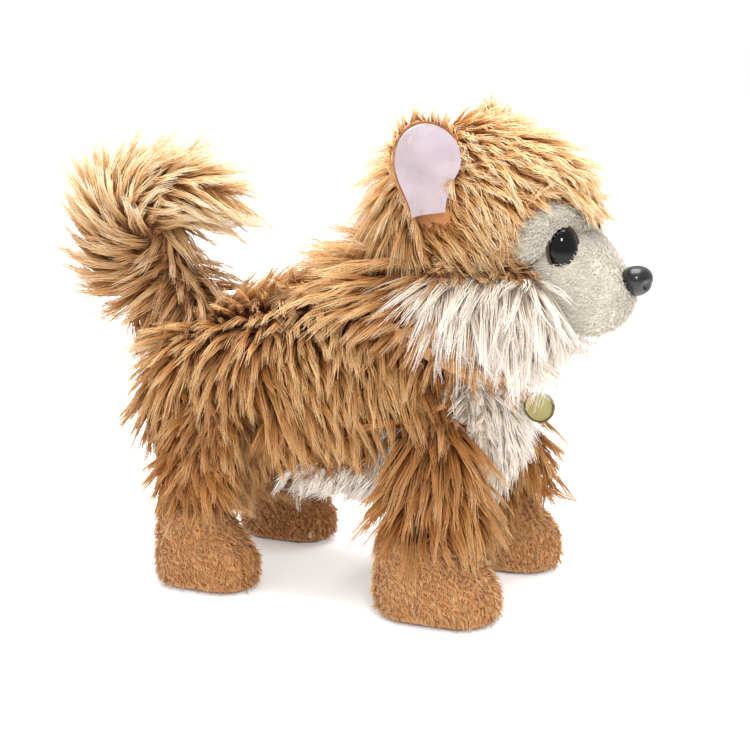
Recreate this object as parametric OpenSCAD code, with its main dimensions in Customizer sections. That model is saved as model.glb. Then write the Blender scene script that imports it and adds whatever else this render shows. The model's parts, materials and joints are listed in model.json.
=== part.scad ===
/* [Legs and stance] */
// Distance from the middle of the body to each hip pivot, front and rear
hip_x = 58; // [50:1:70]
// Height of the hip pivots above the floor
hip_z = 78; // [76:1:100]
// Distance from the middle plane to the middle of each leg
leg_y = 44; // [42:1:53]
// Radius of the padded upper leg
leg_r = 17; // [14:0.5:17.5]
// Height of the paw's velour cuff above the floor
cuff_z = 40; // [33:1:44]
// Length of a front paw, heel to toe
front_paw_l = 62; // [50:1:66]
// Length of a rear paw, heel to toe
rear_paw_l = 54; // [44:1:60]
// Width of a front paw
front_paw_w = 40; // [33:1:42]
// Width of a rear paw
rear_paw_w = 36; // [30:1:42]

/* [Padded body] */
// Radius of the rump
rump_r = 42; // [40:1:46]
// Radius of the body at the waist
waist_r = 46; // [44:1:50]
// Radius of the shoulders
shoulder_r = 48; // [46:1:52]
// Radius of the chest
chest_r = 38; // [35:1:39]
// Half width of the white bib on the chest
bib_half_w = 30; // [26:1:34]

/* [Chassis] */
// Half width of the plastic chassis
case_half_w = 24; // [24:0.5:24.5]
// Height of the chassis above the crankshaft
crank_room = 18; // [17:0.5:21]
// Depth of the chassis below the hip pivots
case_below = 26; // [26:0.5:30]
// Wall thickness of the plastic mouldings
wall = 2; // [1.6:0.1:2.4]
// Radius of the chassis corners
case_corner = 6; // [4:0.5:8]

/* [Batteries] */
// Diameter of one battery cell
cell_d = 14.5; // [10.5:0.1:17.4]
// Length of one battery cell
cell_l = 50.5; // [44.5:0.5:52]

/* [Drive] */
// Teeth on each small gear
pinion_teeth = 10; // [10:1:12]
// Teeth on each large gear
wheel_teeth = 32; // [27:1:32]
// Tooth size at the motor
module_1 = 0.5; // [0.45:0.05:0.5]
// Tooth size in the middle of the train
module_2 = 0.6; // [0.5:0.05:0.6]
// Tooth size at the crankshaft
module_3 = 0.7; // [0.6:0.05:0.7]
// Radius of the crankshaft
crank_shaft_r = 2; // [1.7:0.1:2.4]
// Height of the link pins above the hip pivots
link_rise = 12; // [11:0.5:14.4]
// Throw of the crank pins
crank_throw = 2.1; // [1.8:0.1:2.5]
// Radius of the link pins
link_pin_r = 1.5; // [1.2:0.1:1.8]
// Radius of the stub axles that carry the legs
stub_r = 4; // [3.4:0.1:4.8]

/* [Head and neck] */
// Height of the neck joint above the hip pivots
neck_rise = 64; // [62:1:70]
// Forward lean of the neck, in degrees
neck_lean = 26.7; // [24:0.1:30]
// Radius of the padded neck ball
neck_ball_r = 24; // [22:0.5:24]
// Radius of the plastic skull
skull_r = 27; // [24:0.5:27.5]
// Radius of the padded head
head_r = 46; // [44:1:50]
// Radius of the cheek ruff's lobes
ruff_r = 22; // [20:0.5:24]
// Radius of the muzzle at its root
muzzle_r = 20; // [18:0.5:21]
// Radius of an eye
eye_r = 8; // [6.7:0.1:9.6]
// Radius of the nose
nose_r = 7.5; // [6.3:0.1:8.5]
// Width of an ear at its base
ear_w = 31; // [26:1:37]
// Height of an ear
ear_h = 42; // [35:1:48]

/* [Tail] */
// Radius of the thickest part of the tail
tail_r = 26; // [22:1:30]
// Radius of the tail's tip
tail_tip_r = 12; // [10:1:15]

/* [Collar and tag] */
// Radius of the collar ribbon
collar_r = 44; // [43:0.5:46]
// Width of the collar ribbon
collar_w = 8; // [6.5:0.5:9]
// Radius of the name tag
tag_r = 7.5; // [6:0.5:9]
// Thickness of the name tag
tag_t = 1.4; // [1:0.1:1.8]

/* [Hidden] */

$fn = 64;
soft_fn = 24;      // facets on the padded shapes
big = 400;         // reaches past everything
play = 0.05;       // radial clearance of a running fit
gap = 0.3;         // clearance between a fixed and a moving piece
soft_gap = 0.5;    // clearance between two padded pieces

// Chassis box
case_x = hip_x + 8;
case_z0 = hip_z - case_below;
case_z1 = hip_z + link_rise + crank_room;
door_y = 17;                       // half width of the battery opening
door_x0 = -cell_l / 2 - 11.75;     // rear edge of the battery opening
door_x1 = cell_l / 2 + 6.75;       // front edge of the battery opening
hinge_x = door_x1 - 2.5;
hinge_z = case_z0 + wall + 0.6;
door_screw_x = door_x0 + 3.5;
cell_y = cell_d / 2 + 1.2;
cell_z = case_z0 + wall + 3 + cell_d / 2;
contact_x = cell_l / 2 + 2;
shelf_z = cell_z + cell_d / 2 + 1.2;

// Drive train, from the crankshaft back to the motor
crank_z = hip_z + link_rise;
gear_gap = 0.06;                   // added to each centre distance
train_3 = module_3 * (wheel_teeth + pinion_teeth) / 2 + gear_gap;
train_2 = module_2 * (wheel_teeth + pinion_teeth) / 2 + gear_gap;
train_1 = module_1 * (wheel_teeth + pinion_teeth) / 2 + gear_gap;
middle_x = -train_3;
first_x = middle_x - train_2;
motor_x = first_x - train_1;
axle_r = 0.75;
motor_shaft_r = 1;
motor_r = 10;
layer_1 = [8.5, 11.5];             // widths of the three gear layers along Y
layer_2 = [12, 15];
layer_3 = [15.5, 19.5];
plate_y = [7, 8];

// Leg levers and link rods, as distances from the middle plane
hub_y = [case_half_w + 1, case_half_w + 11];
rod_y = [case_half_w + 3, case_half_w + 6];
lever_y = [case_half_w + 7, case_half_w + 11];
stub_end = hub_y[1] + 0.2;
screw_end = stub_end + 2;
disc_y = [case_half_w + 0.4, case_half_w + 2.4];
hub_r = stub_r + 3;
mech_y = screw_end + 1.3;
well_x = hip_x - 30;
well_z = hip_z - 9.5;
plush_top = hip_z - 16;

// Padded body: balls given as [x, y, z, radius]
rump_x = -(hip_x + 8);
body_balls = [
    [rump_x, 8, hip_z + 11, rump_r], [-25, 4, hip_z + 16, waist_r],
    [25, 4, hip_z + 18, shoulder_r], [hip_x - 12, 14, hip_z + 14, shoulder_r - 12],
    [hip_x - 10, 0, hip_z + 2, chest_r]
];

// Neck joint and the head's own centre
neck_at = [hip_x - 12, 0, hip_z + neck_rise];
skull_at = neck_at + [28, 0, 44];
cone_angle = 13;
post_r = 9;
turret_r = 14;
flange_r = 11;                     // flange that rests on the turret
// Top of the turret along the neck, from the neck joint, with the flange clear of the case
turret_top = (case_z1 + 0.6 - neck_at[2] + flange_r * sin(neck_lean)) / cos(neck_lean);
pin_r = 2;
fork_y = [9.5, 12.5];
fork_z = [-12.5, -9.5];            // crossbar of the fork, along the neck
spline_r = 2.5;                    // output spline of a servo
servo_top = turret_top - 12;       // the servo hangs under the neck post
servo_low = [-11, -6, servo_top - 22];
servo_high = [11, 6, servo_top];

// Face
eye_dir = [37, 22, -18] / norm([37, 22, -18]);
eye_out = 44;
nose_at = skull_at + [65, 0, -31];
ear_at = skull_at + [-22, 39, 3];
ear_turn = 42;
ear_splay = 10;
ear_t = 4;

// Tail pivot and its balls, as distances from the pivot
tail_at = [-(hip_x + 22), 0, case_z1];
tail_balls = [
    [-28, 0, 24, 14], [-42, 0, 42, 20], [-40.5, 0, 68, tail_r],
    [-14, 0, 78, 20], [7, 0, 76, tail_tip_r]
];

// Collar, ring and tag
collar_t = 1.2;
collar_off = [13, 0, -12];
ring_r = 3.5;
ring_wire = 0.6;
ring_hole = 1.1;
collar_front = neck_point([collar_off[0] + collar_r + collar_t, 0, collar_off[2]]);
ring_at = collar_front + [2, 0, -ring_r];
tag_hole = ring_at - [0, 0, ring_r];
tag_mid = tag_hole - [0, 0, tag_r - 2];

// Touch button on the back
pat_x = -(hip_x - 22);
pat_rise = 6;
pat_stem_r = 3;

function neck_point(p) = neck_at + [
    p[0] * cos(neck_lean) + p[2] * sin(neck_lean), p[1],
    p[2] * cos(neck_lean) - p[0] * sin(neck_lean)
];

// ---------- shared shapes ----------

// Draws its children as they are for the left side, or mirrored for the right side
module on_side(side) {
    if (side < 0) mirror([0, 1, 0]) children();
    else children();
}

// Cylinder along Y, from y0 to y1
module rod_along_y(x, z, r, y0, y1) {
    translate([x, y0, z]) rotate([-90, 0, 0]) cylinder(r = r, h = y1 - y0);
}

// Box between two corners
module block(low, high) {
    translate(low) cube(high - low);
}

// Plate in the XZ plane, from y0 to y1, with the outline of its children
module plate_xz(y0, y1) {
    translate([0, y1, 0]) rotate([90, 0, 0]) linear_extrude(height = y1 - y0) children();
}

// Flat bar between two points of the XZ plane
module bar_2d(a, b, w) {
    d = b - a;
    translate(a) rotate(atan2(d[1], d[0])) translate([0, -w / 2]) square([norm(d), w]);
}

// Rectangle with round corners
module round_rect_2d(low, high, r) {
    translate(low + [r, 0]) square([high[0] - low[0] - 2 * r, high[1] - low[1]]);
    translate(low + [0, r]) square([high[0] - low[0], high[1] - low[1] - 2 * r]);
    for (x = [low[0] + r, high[0] - r], y = [low[1] + r, high[1] - r])
        translate([x, y]) circle(r = r);
}

// Smooth skin over balls given as [x, y, z, radius], each with its mirror image in Y
module skin(balls) {
    hull() for (b = balls, s = [-1, 1])
        translate([b[0], s * b[1], b[2]]) sphere(r = b[3], $fn = soft_fn);
}

// Places its children in the neck's own axes, with the neck joint at the origin
module neck_frame() {
    translate(neck_at) rotate([0, neck_lean, 0]) children();
}

// Places its children with +Z pointing from the middle of the skull to an eye
module eye_frame(side) {
    translate(skull_at) rotate([0, acos(eye_dir[2]), side * atan2(eye_dir[1], eye_dir[0])])
        children();
}

// Involute gear outline
function involute(base, a) = base * [cos(a) + a * PI / 180 * sin(a), sin(a) - a * PI / 180 * cos(a)];
function turned(p, a) = [p[0] * cos(a) - p[1] * sin(a), p[0] * sin(a) + p[1] * cos(a)];
module gear_2d(teeth, size, phase) {
    pressure = 25;
    steps = 4;
    pitch_r = teeth * size / 2;
    base_r = pitch_r * cos(pressure);
    tip_r = pitch_r + 0.8 * size;
    root_r = pitch_r - 1.05 * size;
    tip_a = sqrt(pow(tip_r / base_r, 2) - 1) * 180 / PI;
    lost = 0.05 / pitch_r * 180 / PI;
    half = 90 / teeth + tan(pressure) * 180 / PI - pressure - lost;
    flank = [for (i = [0:steps]) turned(involute(base_r, tip_a * i / steps), -half)];
    tooth = concat(
        [root_r * [cos(half), -sin(half)]], flank,
        [for (i = [steps:-1:0]) [flank[i][0], -flank[i][1]]], [root_r * [cos(half), sin(half)]]
    );
    polygon([for (k = [0:teeth - 1], p = tooth) turned(p, phase + 360 * k / teeth)]);
}

// Gear across one layer, with its teeth turned by phase
module gear(x, layer, teeth, size, phase) {
    translate([x, 0, crank_z]) plate_xz(layer[0], layer[1]) gear_2d(teeth, size, phase);
}

// Round wire along a coil that starts at the origin and climbs along Z
module coil(r, wire, rise, turns) {
    per_turn = 12;
    sides = 6;
    n = per_turn * turns;
    ring = [for (i = [0:n], k = [0:sides - 1])
        let (a = 360 * i / per_turn, b = 360 * k / sides, q = r + wire * cos(b))
            [q * cos(a), q * sin(a), rise * i / n + wire * sin(b)]];
    walls = [for (i = [0:n - 1], k = [0:sides - 1])
        let (m = (k + 1) % sides)
            [i * sides + k, i * sides + m, (i + 1) * sides + m, (i + 1) * sides + k]];
    caps = [[for (k = [sides - 1:-1:0]) k], [for (k = [0:sides - 1]) n * sides + k]];
    polyhedron(points = ring, faces = concat(walls, caps), convexity = 6);
}

// Pan-head screw that points along +Z, its head below the origin
module screw(shank_r, length, head_r, head_t) {
    cylinder(r = shank_r, h = length);
    translate([0, 0, -head_t]) difference() {
        cylinder(r = head_r, h = head_t);
        for (a = [0, 90]) rotate(a) block([-head_r * 0.6, -0.35, -1], [head_r * 0.6, 0.35, 0.7]);
    }
}

// ---------- chassis ----------

case_screw_at = [[-hip_x - 1, case_z1 - 6], [hip_x - 4, case_z1 - 6], [hip_x - 4, case_z0 + 6]];
screw_r = 1.2;
boss_r = 3.2;
screw_head_r = 2.4;

// One moulded half of the chassis, drawn for the left side
module case_half(side) {
    difference() {
        union() {
            difference() {
                plate_xz(0, case_half_w)
                    round_rect_2d([-case_x, case_z0], [case_x, case_z1], case_corner);
                plate_xz(-1, case_half_w - wall)
                    round_rect_2d([-case_x + wall, case_z0 + wall], [case_x - wall, case_z1 - wall],
                        case_corner - wall);
            }
            for (x = [-hip_x, hip_x]) rod_along_y(x, hip_z, stub_r, case_half_w - 1, stub_end);
            for (p = case_screw_at) rod_along_y(p[0], p[1], boss_r, 0, case_half_w - 1);
            block([-contact_x - 6, 0, shelf_z], [contact_x + 6, case_half_w - 1, shelf_z + wall]);
            for (x = [-contact_x - 2.1, contact_x + 0.6])
                block([x, 0, hinge_z + 2.4], [x + 1.5, case_half_w - 1, shelf_z + 1]);
            block([hinge_x - 3, door_y + 0.2, case_z0 + 1], [hinge_x + 3, door_y + 3.2, hinge_z + 2.6]);
            translate([door_screw_x, 0, case_z0 + wall]) intersection() {
                cylinder(r = 3, h = 4);
                block([-4, 0, -1], [4, 4, 5]);
            }
            block([door_screw_x, 0, case_z0 + wall + 2.6], [-contact_x - 1, 3, case_z0 + wall + 4.4]);
            intersection() {
                neck_frame() translate([0, 0, turret_top - 16]) cylinder(r = turret_r, h = 16);
                block([-big, 0, case_z1 - wall], [big, big, big]);
            }
        }
        neck_frame() {
            translate([0, 0, turret_top - 30]) cylinder(r = post_r, h = 31);
            block(servo_low - [gap, gap, gap], servo_high + [gap, gap, gap]);
        }
        rod_along_y(0, crank_z, crank_shaft_r + play, -1, case_half_w + 1);
        for (x = [-hip_x, hip_x]) rod_along_y(x, hip_z, screw_r, stub_end - 9, stub_end + 1);
        for (p = case_screw_at) rod_along_y(p[0], p[1], screw_r, -1, case_half_w - 4);
        if (side < 0) for (p = case_screw_at)
            rod_along_y(p[0], p[1], screw_head_r + 0.3, case_half_w - 4, case_half_w + 1);
        if (side > 0) for (x = [first_x, middle_x])
            rod_along_y(x, crank_z, axle_r, case_half_w - wall - 1, case_half_w - wall + 1);
        block([door_x0, -1, case_z0 - 1], [door_x1, door_y, case_z0 + wall]);
        block([hinge_x - 2.2, -1, case_z0 - 1], [hinge_x + 2.2, door_y, hinge_z + 2.2]);
        rod_along_y(hinge_x, hinge_z, 1 + play, door_y - 1, door_y + 2.4);
        translate([door_screw_x, 0, case_z0]) cylinder(r = 1.6, h = 7);
        block([switch_x[0], -1, case_z0 - 1], [switch_x[1], 2.3, case_z0 + wall + 1]);
        translate([pat_x, 0, case_z1 - wall - 1]) cylinder(r = pat_stem_r + 0.1, h = wall + 2);
        for (z = [-9:3:9])
            block([case_x - wall - 1, -1, speaker_z + z - 0.7],
                [case_x + 1, sqrt(121 - z * z), speaker_z + z + 0.7]);
    }
}

module chassis_right() {
    color("dimgray") on_side(-1) case_half(-1);
}

module chassis_left() {
    color("gray") on_side(1) case_half(1);
}

module chassis_screws() {
    color("silver") {
        for (p = case_screw_at)
            translate([p[0], -(case_half_w - 4), p[1]]) rotate([-90, 0, 0])
                screw(screw_r, 2 * case_half_w - 8, screw_head_r, 1.6);
        for (x = [-hip_x, hip_x], s = [-1, 1])
            on_side(s) translate([x, stub_end, hip_z]) rotate([90, 0, 0])
                screw(screw_r, 8, stub_r + 1.5, screw_end - stub_end);
    }
}

module battery_cells() {
    color("goldenrod") for (s = [-1, 1])
        translate([-s * cell_l / 2, s * cell_y, cell_z]) rotate([0, s * 90, 0]) {
            cylinder(r = cell_d / 2, h = cell_l - 1);
            cylinder(r = 2.7, h = cell_l);
        }
}

module battery_contacts() {
    color("silver") {
        for (s = [-1, 1])
            block([s * (contact_x + 0.3) - 0.25, -cell_y - 6, cell_z - 6],
                [s * (contact_x + 0.3) + 0.25, cell_y + 6, cell_z + 6]);
        for (s = [-1, 1])
            translate([-s * (contact_x - 0.3), s * cell_y, cell_z]) rotate([0, s * 90, 0])
                coil(3, 0.3, 1.35, 1.5);
    }
}

module motor() {
    color("lightsteelblue") difference() {
        union() {
            intersection() {
                rod_along_y(motor_x, crank_z, motor_r, -16, plate_y[0]);
                block([motor_x - motor_r, -20, crank_z - 7.7], [motor_x + motor_r, 10, crank_z + 7.7]);
            }
            rod_along_y(motor_x, crank_z, 4, -18, -15);
        }
        rod_along_y(motor_x, crank_z, motor_shaft_r + play, -12.1, plate_y[0] + 1);
    }
}

post_at = [for (x = [motor_x - 8, 14.5], dz = [-8.5, 8.5]) [x, crank_z + dz]];

module gearbox_plate() {
    color("whitesmoke") difference() {
        union() {
            plate_xz(plate_y[0], plate_y[1])
                round_rect_2d([motor_x - 11, crank_z - 11.3], [17.5, crank_z + 11.3], 3);
            for (p = post_at) rod_along_y(p[0], p[1], 2, plate_y[0], case_half_w - wall);
        }
        rod_along_y(motor_x, crank_z, 2, 0, 10);
        rod_along_y(0, crank_z, crank_shaft_r + play, 0, 10);
        for (x = [first_x, middle_x]) rod_along_y(x, crank_z, axle_r, 0, 10);
    }
}

module gear_axles() {
    color("silver") for (x = [first_x, middle_x])
        rod_along_y(x, crank_z, axle_r, plate_y[0], case_half_w - wall + 1);
}

speaker_z = hip_z + 11;
speaker_r = 12;

module speaker() {
    color("black") translate([case_x - wall - 5, 0, speaker_z]) rotate([0, 90, 0]) {
        cylinder(r = speaker_r * 0.55, h = 2);
        translate([0, 0, 2]) difference() {
            cylinder(r = speaker_r, h = 3);
            translate([0, 0, 1.5]) cylinder(r1 = 5, r2 = speaker_r - 1.5, h = 1.6);
        }
    }
}

board_z = case_z1 - wall - 3.7;
board_x = [case_screw_at[0][0] + boss_r + 1.8, middle_x + 0.7];

module circuit_board() {
    color("seagreen") block([board_x[0], -18, board_z], [board_x[1], 18, board_z + 1.6]);
    color("black") {
        block([board_x[0] + 5, 4, board_z + 1.6], [board_x[0] + 15, 14, board_z + 3]);
        block([board_x[1] - 12, -14, board_z + 1.6], [board_x[1] - 4, -6, board_z + 2.8]);
        translate([pat_x, 0, board_z]) cylinder(r = 2.4, h = 2.7);
    }
}

switch_x = [-hip_x + 6, -hip_x + 16];

module switch_body() {
    color("black") difference() {
        block([switch_x[0] - 2, -5, case_z0 + wall], [switch_x[1] + 2, 5, case_z0 + wall + 8]);
        block([switch_x[0], -2.3, case_z0], [switch_x[1], 2.3, case_z0 + wall + 3]);
    }
}

module power_slider() {
    color("crimson") {
        block([switch_x[0] + 1, -2, case_z0 - 1.2], [switch_x[0] + 5, 2, case_z0 + wall + 2.5]);
        block([switch_x[0] + 2.6, -2, case_z0 - 1.7], [switch_x[0] + 3.4, 2, case_z0]);
    }
}

// The touch button stands on its spring under the padding of the back
module pat_button() {
    color("whitesmoke") translate([pat_x, 0, 0]) {
        translate([0, 0, case_z1 + pat_rise]) cylinder(r = 8, h = 3);
        translate([0, 0, board_z + 5.2])
            cylinder(r = pat_stem_r, h = case_z1 + pat_rise + 1 - board_z - 5.2);
    }
}

module pat_spring() {
    color("silver") translate([pat_x, 0, case_z1 + 0.4]) coil(4.5, 0.35, pat_rise - 0.8, 4);
}

module battery_door() {
    color("dimgray") difference() {
        union() {
            block([door_x0 + gap, -door_y + gap, case_z0], [hinge_x, door_y - gap, case_z0 + wall]);
            rod_along_y(hinge_x, hinge_z, 1.6, -door_y + gap, door_y - gap);
            rod_along_y(hinge_x, hinge_z, 1, -door_y - 2.2, door_y + 2.2);
            for (s = [-1, 1])
                translate([0, s * cell_y, 0])
                    block([-18, -1, case_z0 + wall - 0.1], [18, 1, case_z0 + wall + 2.6]);
        }
        translate([door_screw_x, 0, case_z0 - 1]) cylinder(r = 1.25, h = 6);
        translate([door_screw_x, 0, case_z0 - 1]) cylinder(r = screw_head_r, h = 2);
    }
}

module door_screw() {
    color("silver") translate([door_screw_x, 0, case_z0 + 1])
        screw(1.25, 3.4, screw_head_r, 0.9);
}

// ---------- drive ----------

module crankshaft() {
    color("silver") rod_along_y(0, crank_z, crank_shaft_r, -disc_y[1], disc_y[1]);
}

module crank_discs() {
    color("whitesmoke") for (s = [-1, 1]) on_side(s) difference() {
        union() {
            rod_along_y(0, crank_z, 6, disc_y[0], disc_y[1]);
            rod_along_y(0, crank_z - s * crank_throw, 1.2, disc_y[0], rod_y[0] - 0.2);
        }
        rod_along_y(0, crank_z, crank_shaft_r, 0, disc_y[1]);
    }
}

module drive_gear() {
    color("ivory") difference() {
        gear(0, layer_3, wheel_teeth, module_3, 180 + 180 / wheel_teeth * ((wheel_teeth + 1) % 2));
        rod_along_y(0, crank_z, crank_shaft_r, 0, 30);
    }
}

// Large gear and small gear moulded together, turning on a steel axle
module compound_gear(x, wheel_layer, wheel_size, wheel_phase, pinion_layer, pinion_size) {
    difference() {
        union() {
            gear(x, wheel_layer, wheel_teeth, wheel_size, wheel_phase);
            gear(x, pinion_layer, pinion_teeth, pinion_size, 0);
            rod_along_y(x, crank_z, 1.7, wheel_layer[0], pinion_layer[1]);
        }
        rod_along_y(x, crank_z, axle_r + play, 0, 30);
    }
}

wheel_phase = 180 + 180 / wheel_teeth * ((wheel_teeth + 1) % 2);

module middle_gear() {
    color("orange") compound_gear(middle_x, layer_2, module_2, wheel_phase, layer_3, module_3);
}

module first_gear() {
    color("gold") compound_gear(first_x, layer_1, module_1, wheel_phase, layer_2, module_2);
}

module motor_pinion() {
    color("darkkhaki") union() {
        rod_along_y(motor_x, crank_z, motor_shaft_r, -12, layer_1[1] + 0.4);
        gear(motor_x, layer_1, pinion_teeth, module_1, 0);
    }
}

// ---------- legs ----------

foot_x = [-14, 20];    // the foot plate reaches this far behind and ahead of the hip line
foot_z = [4, 7];

// Plastic lever inside one leg, with its hub, its link pin and its foot plate
module leg_core(fore, side) {
    x = fore * hip_x;
    color("lightgray") on_side(side) difference() {
        union() {
            rod_along_y(x, hip_z, hub_r, hub_y[0], hub_y[1]);
            plate_xz(lever_y[0], lever_y[1]) {
                translate([x, hip_z]) circle(r = hub_r + 1);
                bar_2d([x, hip_z], [x, crank_z], 8);
                translate([x, crank_z]) circle(r = 4);
                bar_2d([x, hip_z], [x + 3, foot_z[0]], 10);
            }
            rod_along_y(x, crank_z, link_pin_r, rod_y[0], lever_y[1]);
            block([x + foot_x[0], lever_y[0], foot_z[0]], [x + foot_x[1], leg_y + 10, foot_z[1]]);
        }
        rod_along_y(x, hip_z, stub_r + play, 0, big);
    }
}

// Room that the leg core takes inside the padding
module core_room(x) {
    plate_xz(lever_y[0], lever_y[1]) bar_2d([x, hip_z], [x + 3, foot_z[0]], 10);
    block([x + foot_x[0], lever_y[0], foot_z[0]], [x + foot_x[1], leg_y + 10, foot_z[1]]);
}

module leg_plush(fore, side) {
    x = fore * hip_x;
    lead = fore > 0 ? 9 : 3;
    back = fore > 0 ? -3 : -8;
    color("burlywood") on_side(side) difference() {
        hull() {
            for (dx = [back, lead])
                translate([x + dx, leg_y, plush_top - leg_r]) sphere(r = leg_r, $fn = soft_fn);
            for (dx = [back, lead])
                translate([x + dx, leg_y, plush_top - leg_r - 2]) cylinder(r = leg_r, h = leg_r);
            for (dx = [back + 3, lead])
                translate([x + dx, leg_y, cuff_z]) cylinder(r = leg_r - 1, h = 2);
        }
        core_room(x);
        block([-big, -big, -big], [big, big, cuff_z]);
    }
}

// Velour paw with a flat sole
module paw(fore, side, length, width) {
    x = fore * hip_x;
    r = width / 2;
    middle = x + (fore > 0 ? 4 : 1);
    heel = middle - length / 2 + r;
    toe = middle + length / 2 - r;
    color("tan") on_side(side) difference() {
        hull() {
            for (p = [[heel, r - 3], [toe, r - 3]])
                translate([p[0], leg_y, 0]) cylinder(r = p[1], h = 1);
            for (p = [heel, toe])
                translate([p, leg_y, r * 0.55]) sphere(r = r, $fn = soft_fn);
            translate([heel, leg_y, cuff_z - 12]) cylinder(r = r - 2, h = 12);
        }
        block([-big, -big, -big], [big, big, 0]);
        core_room(x);
    }
}

// Rod that ties the front and rear levers of one side together
module link_rod(side) {
    color("whitesmoke") on_side(side) difference() {
        plate_xz(rod_y[0], rod_y[1]) {
            bar_2d([-hip_x, crank_z], [hip_x, crank_z], 5);
            for (x = [-hip_x, hip_x]) translate([x, crank_z]) circle(r = link_pin_r + 1.7);
            translate([0, crank_z]) circle(r = 6.5);
        }
        for (x = [-hip_x, hip_x]) rod_along_y(x, crank_z, link_pin_r + play, 0, big);
        plate_xz(0, big) round_rect_2d([-1.35, crank_z - 3.8], [1.35, crank_z + 3.8], 1.3);
    }
}

// ---------- padded body ----------

// White panel: the chest bib and the belly between the legs
module white_region() {
    block([hip_x - 4, -bib_half_w, 0], [big, bib_half_w, hip_z + 40]);
    block([well_x - 2, -hub_y[0] + 0.7, 0], [hip_x - 3, hub_y[0] - 0.7, case_z0]);
    block([-well_x + 2, -36, 0], [well_x - 1, 36, case_z0 + 6]);
}

// Everything that the padded body leaves free
module body_rooms() {
    slack = 0.2;
    block([-case_x - slack, -case_half_w - slack, case_z0 - slack],
        [case_x + slack, case_half_w + slack, case_z1 + slack]);
    for (s = [-1, 1]) on_side(s) {
        block([-hip_x - 13, case_half_w, well_z - 1], [hip_x + 13, mech_y, crank_z + 10]);
        for (f = [-1, 1]) {
            low = f > 0 ? well_x : -big;
            high = f > 0 ? big : -well_x;
            block([low, hub_y[0], -1], [high, big, well_z]);
        }
    }
    block([switch_x[0] - 4, -door_y - 2, 0], [door_x1 + 2, door_y + 2, case_z0 + 1]);
    neck_frame() translate([0, 0, turret_top - 20]) cylinder(r = turret_r + 1, h = -turret_top + 20);
    neck_frame() translate(collar_off - [0, 0, collar_w / 2]) difference() {
        cylinder(r = collar_r + collar_t, h = collar_w);
        translate([0, 0, -1]) cylinder(r = collar_r, h = collar_w + 2);
    }
    translate([pat_x, 0, case_z1]) cylinder(r = 9, h = pat_rise + 4);
    translate([tail_at[0], 0, case_z0 + 20]) cylinder(r = 15, h = big);
    block([-big, -15, case_z1 - 1], [tail_at[0], 15, big]);
}

module torso_plush() {
    color("peru") difference() {
        union() {
            difference() {
                skin(body_balls);
                neck_frame() cylinder(r = 120, h = 120);
                head_gap();
            }
            translate(neck_at) sphere(r = neck_ball_r);
        }
        white_region();
        body_rooms();
        neck_frame() translate([0, 0, -30]) cylinder(r = 16, h = 80);
    }
}

// Wedge between the top of the body and the underside of the head
module head_gap() {
    reach = 110;
    neck_frame() rotate_extrude()
        polygon([[0, 0.01], [reach, -reach * tan(cone_angle)], [reach, 1], [0, 1]]);
}

module underside_plush() {
    color("ivory") difference() {
        intersection() {
            skin(body_balls);
            white_region();
        }
        neck_frame() translate([0, 0, collar_off[2] - collar_w / 2]) cylinder(r = 120, h = 120);
        body_rooms();
    }
}

module collar() {
    color("darkgoldenrod") {
        neck_frame() translate(collar_off - [0, 0, collar_w / 2]) difference() {
            cylinder(r = collar_r + collar_t, h = collar_w);
            translate([0, 0, -1]) cylinder(r = collar_r, h = collar_w + 2);
        }
        difference() {
            block(collar_front + [-0.9, -1.5, -2.2], collar_front + [3.8, 1.5, 2.2]);
            rod_along_y(ring_at[0], ring_at[2] + ring_r, ring_hole, -5, 5);
        }
    }
}

module collar_ring() {
    color("silver") translate(ring_at) rotate([0, 90, 0]) rotate_extrude()
        translate([ring_r, 0]) circle(r = ring_wire, $fn = 24);
}

module tag() {
    color("olive") difference() {
        union() {
            rod_along_y(tag_mid[0], tag_mid[2], tag_r, -tag_t / 2, tag_t / 2);
            rod_along_y(tag_mid[0], tag_hole[2], 2.2, -tag_t / 2, tag_t / 2);
        }
        rod_along_y(tag_mid[0], tag_hole[2], ring_hole, -5, 5);
    }
}

// ---------- tail ----------

module tail_servo() {
    color("midnightblue") {
        block([tail_at[0] - 7, -6, case_z1 - 24], [-case_x, 6, case_z1 - 3]);
        translate([tail_at[0], 0, case_z1 - 4]) cylinder(r = spline_r, h = 8);
    }
}

module tail_arm() {
    color("whitesmoke") difference() {
        union() {
            translate([tail_at[0], 0, case_z1]) cylinder(r = 7, h = 6);
            hull() {
                translate([tail_at[0] - 4, 0, case_z1 + 4]) sphere(r = 3, $fn = soft_fn);
                translate([tail_at[0] - 30, 0, case_z1 + 28]) sphere(r = 3, $fn = soft_fn);
            }
        }
        translate([tail_at[0], 0, case_z1 - 1]) cylinder(r = spline_r + play, h = 6);
    }
}

module tail_plush() {
    color("peru") difference() {
        union() for (i = [0:len(tail_balls) - 2]) hull() for (b = [tail_balls[i], tail_balls[i + 1]])
            translate([tail_at[0] + b[0], b[1], case_z1 + b[2]]) sphere(r = b[3], $fn = soft_fn);
        hull() {
            translate([tail_at[0] - 4, 0, case_z1 + 4]) sphere(r = 3.2, $fn = soft_fn);
            translate([tail_at[0] - 30, 0, case_z1 + 28]) sphere(r = 3.2, $fn = soft_fn);
        }
    }
}

// ---------- neck and head ----------

module neck_servo() {
    color("midnightblue") neck_frame() {
        block(servo_low, servo_high);
        translate([0, 0, servo_top - 1]) cylinder(r = spline_r, h = 9);
    }
}

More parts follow.
